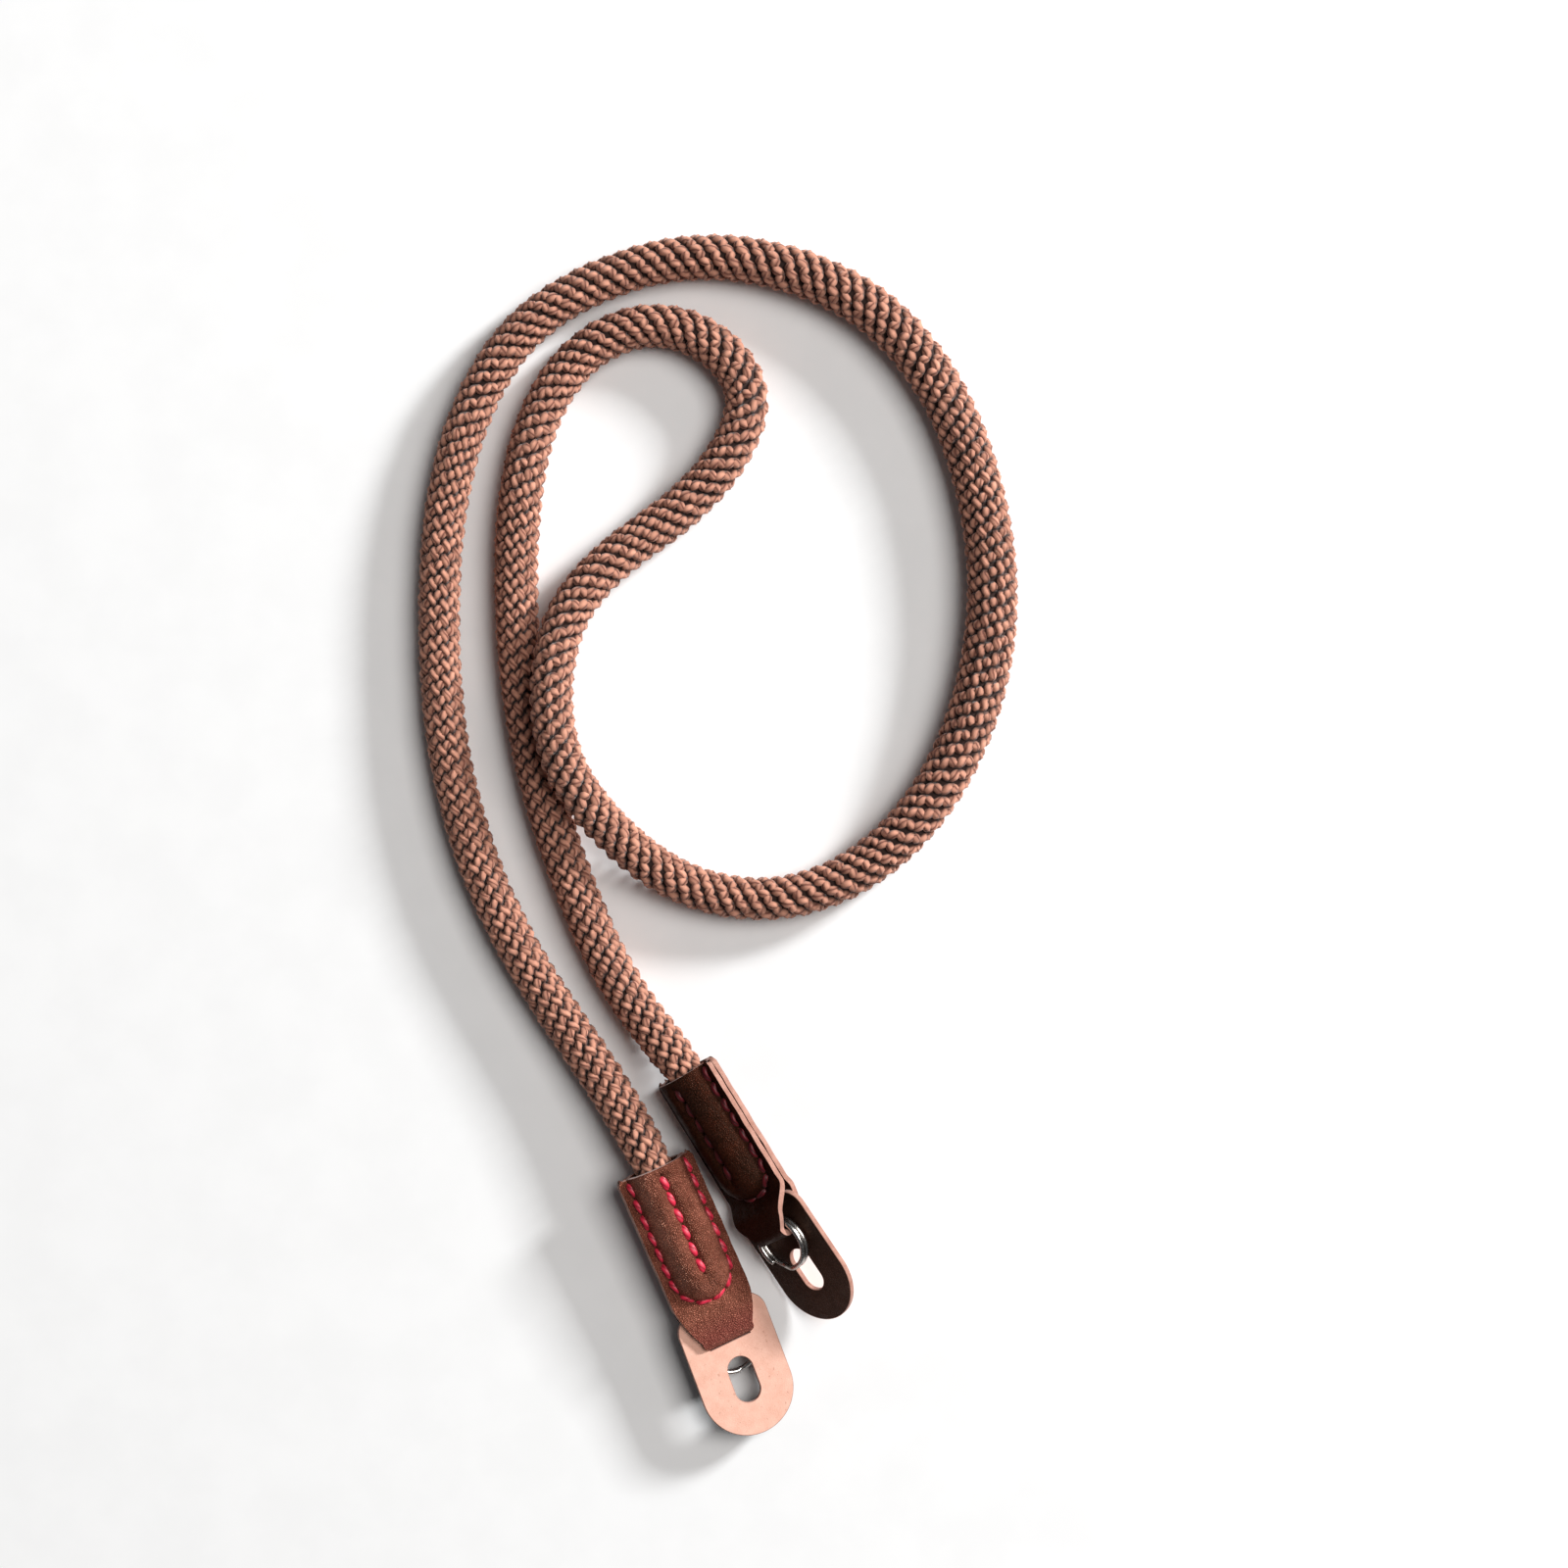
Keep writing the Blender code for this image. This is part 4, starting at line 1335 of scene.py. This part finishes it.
    def build_thread(self, face: Face) -> bpy.types.Object:
        """Builds the stitches that show on one face of the cover.

        Args:
            face: The face that they lie on.

        Returns:
            One piece with all of them.
        """
        chance = np.random.default_rng(self.thread_seed + face.value)
        form = self.forms[face]
        surface = form.heights + self.thread_dent * form.hole_depth * form.pierced
        steps, sides = self.thread_steps, self.thread_sides
        power, least = self.thread_tip
        points, faces, corners = [], [], []
        for number, stitch in enumerate(self.seams.stitches(chance)):
            share = np.linspace(-1, 1, steps)
            along = share * stitch.length / 2
            reach = stitch.reach + along * math.cos(stitch.heading)
            across = stitch.across + along * math.sin(stitch.heading)
            bow = 1 - np.abs(share) ** self.thread_bow
            ground = form.read(surface, reach, across).mean() + LEATHER / 2
            height = ground - self.thread_sink + (self.thread_rise + self.thread_lift) * bow
            centre = np.stack([reach, across, face.value * height], axis=1)
            body = np.sqrt(np.clip(1 - np.abs(share) ** power, least, 1))
            out = np.tile((0.0, 0.0, float(face.value)), (steps, 1))
            plump = 1 + chance.normal(0, self.thread_spread)
            rings = strand_rings(centre, out, self.thread_out * body, self.thread_side * body * plump, sides)
            points.append(rings.reshape(-1, 3))
            faces.append(strand_faces(steps, sides, number * steps * sides))
            corners.append(strand_uv((share + 1) * stitch.length / 2 / MM + self.twist_shift * number, sides))
        name = f"{self.place.name}_thread_{face.name.lower()}"
        thread = mesh_object(name, np.concatenate(points), np.concatenate(faces), np.concatenate(corners))
        thread.matrix_world = self.place.matrix()
        return hang_on_body(thread, self.thread.material())

    def build(self) -> None:
        """Builds the cover and its thread in place of the plain strip."""
        cover = self.build_leather()
        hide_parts(f"{self.place.name}_end_cover")
        threads = [self.build_thread(face) for face in Face]
        stitches = len(self.seams.spans())
        LOG.info("%s cover: %d stitches on each of %d faces", self.place.name, stitches, len(threads))


@dataclass
class LugGuard:
    """The flat leather guard under the ring, pale inside, with a slit for the strip and a lug's slot."""

    place: EndPlace
    width: float = 21.6 * MM
    top: float = SEWN_LENGTH + 1.6 * MM
    tip: float = 66.005 * MM
    shoulder: float = 4.5 * MM
    slot_start: float = 47.605 * MM
    slot_stop: float = 58.405 * MM
    slot_width: float = 6.0 * MM
    slit_ease: float = 0.14 * MM
    slit_back: float = 0.5 * MM
    edge_round: float = 0.16 * MM
    tip_points: int = 65
    shoulder_points: int = 17
    slot_points: int = 25
    flat_limit: float = 0.99
    sharp_angle: float = 28.0

    def arc(self, centre: tuple[float, float], radius: float, start: float, stop: float,
            steps: int) -> list[tuple[float, float]]:
        """Points of an arc, its angles given in quarter turns."""
        angles = np.linspace(start, stop, steps) * math.pi / 2
        return [(centre[0] + radius * math.cos(a), centre[1] + radius * math.sin(a)) for a in angles]

    def outer_edge(self) -> list[tuple[float, float]]:
        """The guard's outline: a round tip, straight sides and rounded shoulders."""
        half, corner = self.width / 2, self.top + self.shoulder
        inset = half - self.shoulder
        edge = self.arc((self.tip - half, 0.0), half, -1, 1, self.tip_points)
        edge += self.arc((corner, inset), self.shoulder, 1, 2, self.shoulder_points)
        return edge + self.arc((corner, -inset), self.shoulder, 2, 3, self.shoulder_points)

    def slot_edge(self) -> list[tuple[float, float]]:
        """The slot's outline, with round ends."""
        half = self.slot_width / 2
        far = self.arc((self.slot_stop - half, 0.0), half, -1, 1, self.slot_points)
        return far + self.arc((self.slot_start + half, 0.0), half, 1, 3, self.slot_points)

    def slit_edge(self) -> list[tuple[float, float]]:
        """The slit's outline, close round the strip and square to it whatever way the guard is turned."""
        start, stop = FOLD_REACH - LEATHER / 2 - self.slit_back, FOLD_REACH + LEATHER / 2 + self.slit_ease
        half = TONGUE_HALF + 2 * self.slit_ease
        turn = -math.radians(self.place.guard_turn)
        box = ((stop, -half), (stop, half), (start, half), (start, -half))
        return [(FOLD_REACH + (x - FOLD_REACH) * math.cos(turn) - y * math.sin(turn),
                 (x - FOLD_REACH) * math.sin(turn) + y * math.cos(turn)) for x, y in box]

    def build(self) -> None:
        """Builds the guard in place of the plain one."""
        curve = bpy.data.curves.new("guard_outline", "CURVE")
        curve.dimensions = "2D"
        curve.fill_mode = "BOTH"
        curve.bevel_depth = self.edge_round
        curve.bevel_resolution = 2
        curve.offset = -self.edge_round
        curve.extrude = GUARD_THICKNESS / 2 - self.edge_round
        for outline in (self.outer_edge(), self.slit_edge(), self.slot_edge()):
            spline = curve.splines.new("POLY")
            spline.points.add(len(outline) - 1)
            spline.use_cyclic_u = True
            for knot, (reach, across) in zip(spline.points, outline):
                knot.co = (reach - FOLD_REACH, across, 0.0, 1.0)
        drawn = bpy.data.objects.new("guard_outline", curve)
        mesh = bpy.data.meshes.new_from_object(drawn)
        bpy.data.objects.remove(drawn)
        guard = add_object(f"{self.place.name}_guard", mesh)
        turn = Matrix.Rotation(math.radians(self.place.guard_turn), 4, "Z")
        guard.matrix_world = self.place.matrix() @ Matrix.Translation((FOLD_REACH, 0.0, 0.0)) @ turn
        mesh.materials.clear()
        hang_on_body(guard, GUARD_FLESH.material(), GUARD_GRAIN.material(), CUT_EDGE.material())
        for face in mesh.polygons:
            out = face.normal.z
            face.material_index = 0 if out < -self.flat_limit else 1 if out > self.flat_limit else 2
            face.use_smooth = True
        mesh.set_sharp_from_angle(angle=math.radians(self.sharp_angle))
        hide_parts(f"{self.place.name}_lug_guard")
        LOG.info("%s guard: %.1f x %.1f mm", self.place.name, self.width / MM, (self.tip - self.top) / MM)


@dataclass
class SplitRing:
    """The split ring: one wire in two flat coils that change level in a short crossover."""

    place: EndPlace
    crossover: float = 42.0
    end_gap: float = 14.0
    steps: int = 260
    sides: int = 16
    tip_length: float = 0.25 * MM
    tip_least: float = 0.02

    def build(self) -> None:
        """Builds the ring in place of the coarser one."""
        crossover, end_gap = math.radians(self.crossover), math.radians(self.end_gap)
        turn = np.linspace(0, 4 * math.pi - crossover - end_gap, self.steps)
        level = (RING_WIRE + RING_COIL_GAP) / 2
        height = level * (2 * smooth(2 * math.pi - crossover, 2 * math.pi, turn) - 1)
        wire = np.stack([RING_RADIUS * np.cos(turn), RING_RADIUS * np.sin(turn), height], axis=1)
        walked = np.arange(self.steps) * RING_RADIUS * (turn[1] - turn[0])
        from_end = np.minimum(walked, walked[-1] - walked) / self.tip_length
        body = RING_WIRE / 2 * np.sqrt(np.clip(1 - (1 - np.minimum(from_end, 1)) ** 2, self.tip_least, 1))
        rings = strand_rings(wire, np.tile((0.0, 0.0, 1.0), (self.steps, 1)), body, body, self.sides)
        faces = strand_faces(self.steps, self.sides)
        ring = mesh_object(f"{self.place.name}_ring", rings.reshape(-1, 3), faces)
        ring.matrix_world = self.place.matrix() @ Matrix.Translation((RING_REACH, 0.0, RING_LEVEL))
        hang_on_body(ring, RING_STEEL.material())
        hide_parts(f"{self.place.name}_split_ring")
        LOG.info("%s ring: %.1f mm across", self.place.name, RING_OUTER_DIAMETER / MM)


def main() -> None:
    """Builds the camera, the rope, both leather ends and the studio."""
    logging.basicConfig(level=logging.INFO, format="%(message)s")
    studio = Studio()
    studio.place_camera()
    NeckRope().build()
    # The right end takes shaded copies of the left end's grain and thread: their darkness is painted shade.
    ends = ((LEFT_PLACE, BROWN_GRAIN, RED_THREAD), (RIGHT_PLACE, SHADED_GRAIN, SHADED_THREAD))
    for place, grain, thread in ends:
        EndCover(place, grain, thread).build()
        LugGuard(place).build()
        SplitRing(place).build()
    studio.place_floor()
    studio.place_lights()


if __name__ == "__main__":
    main()
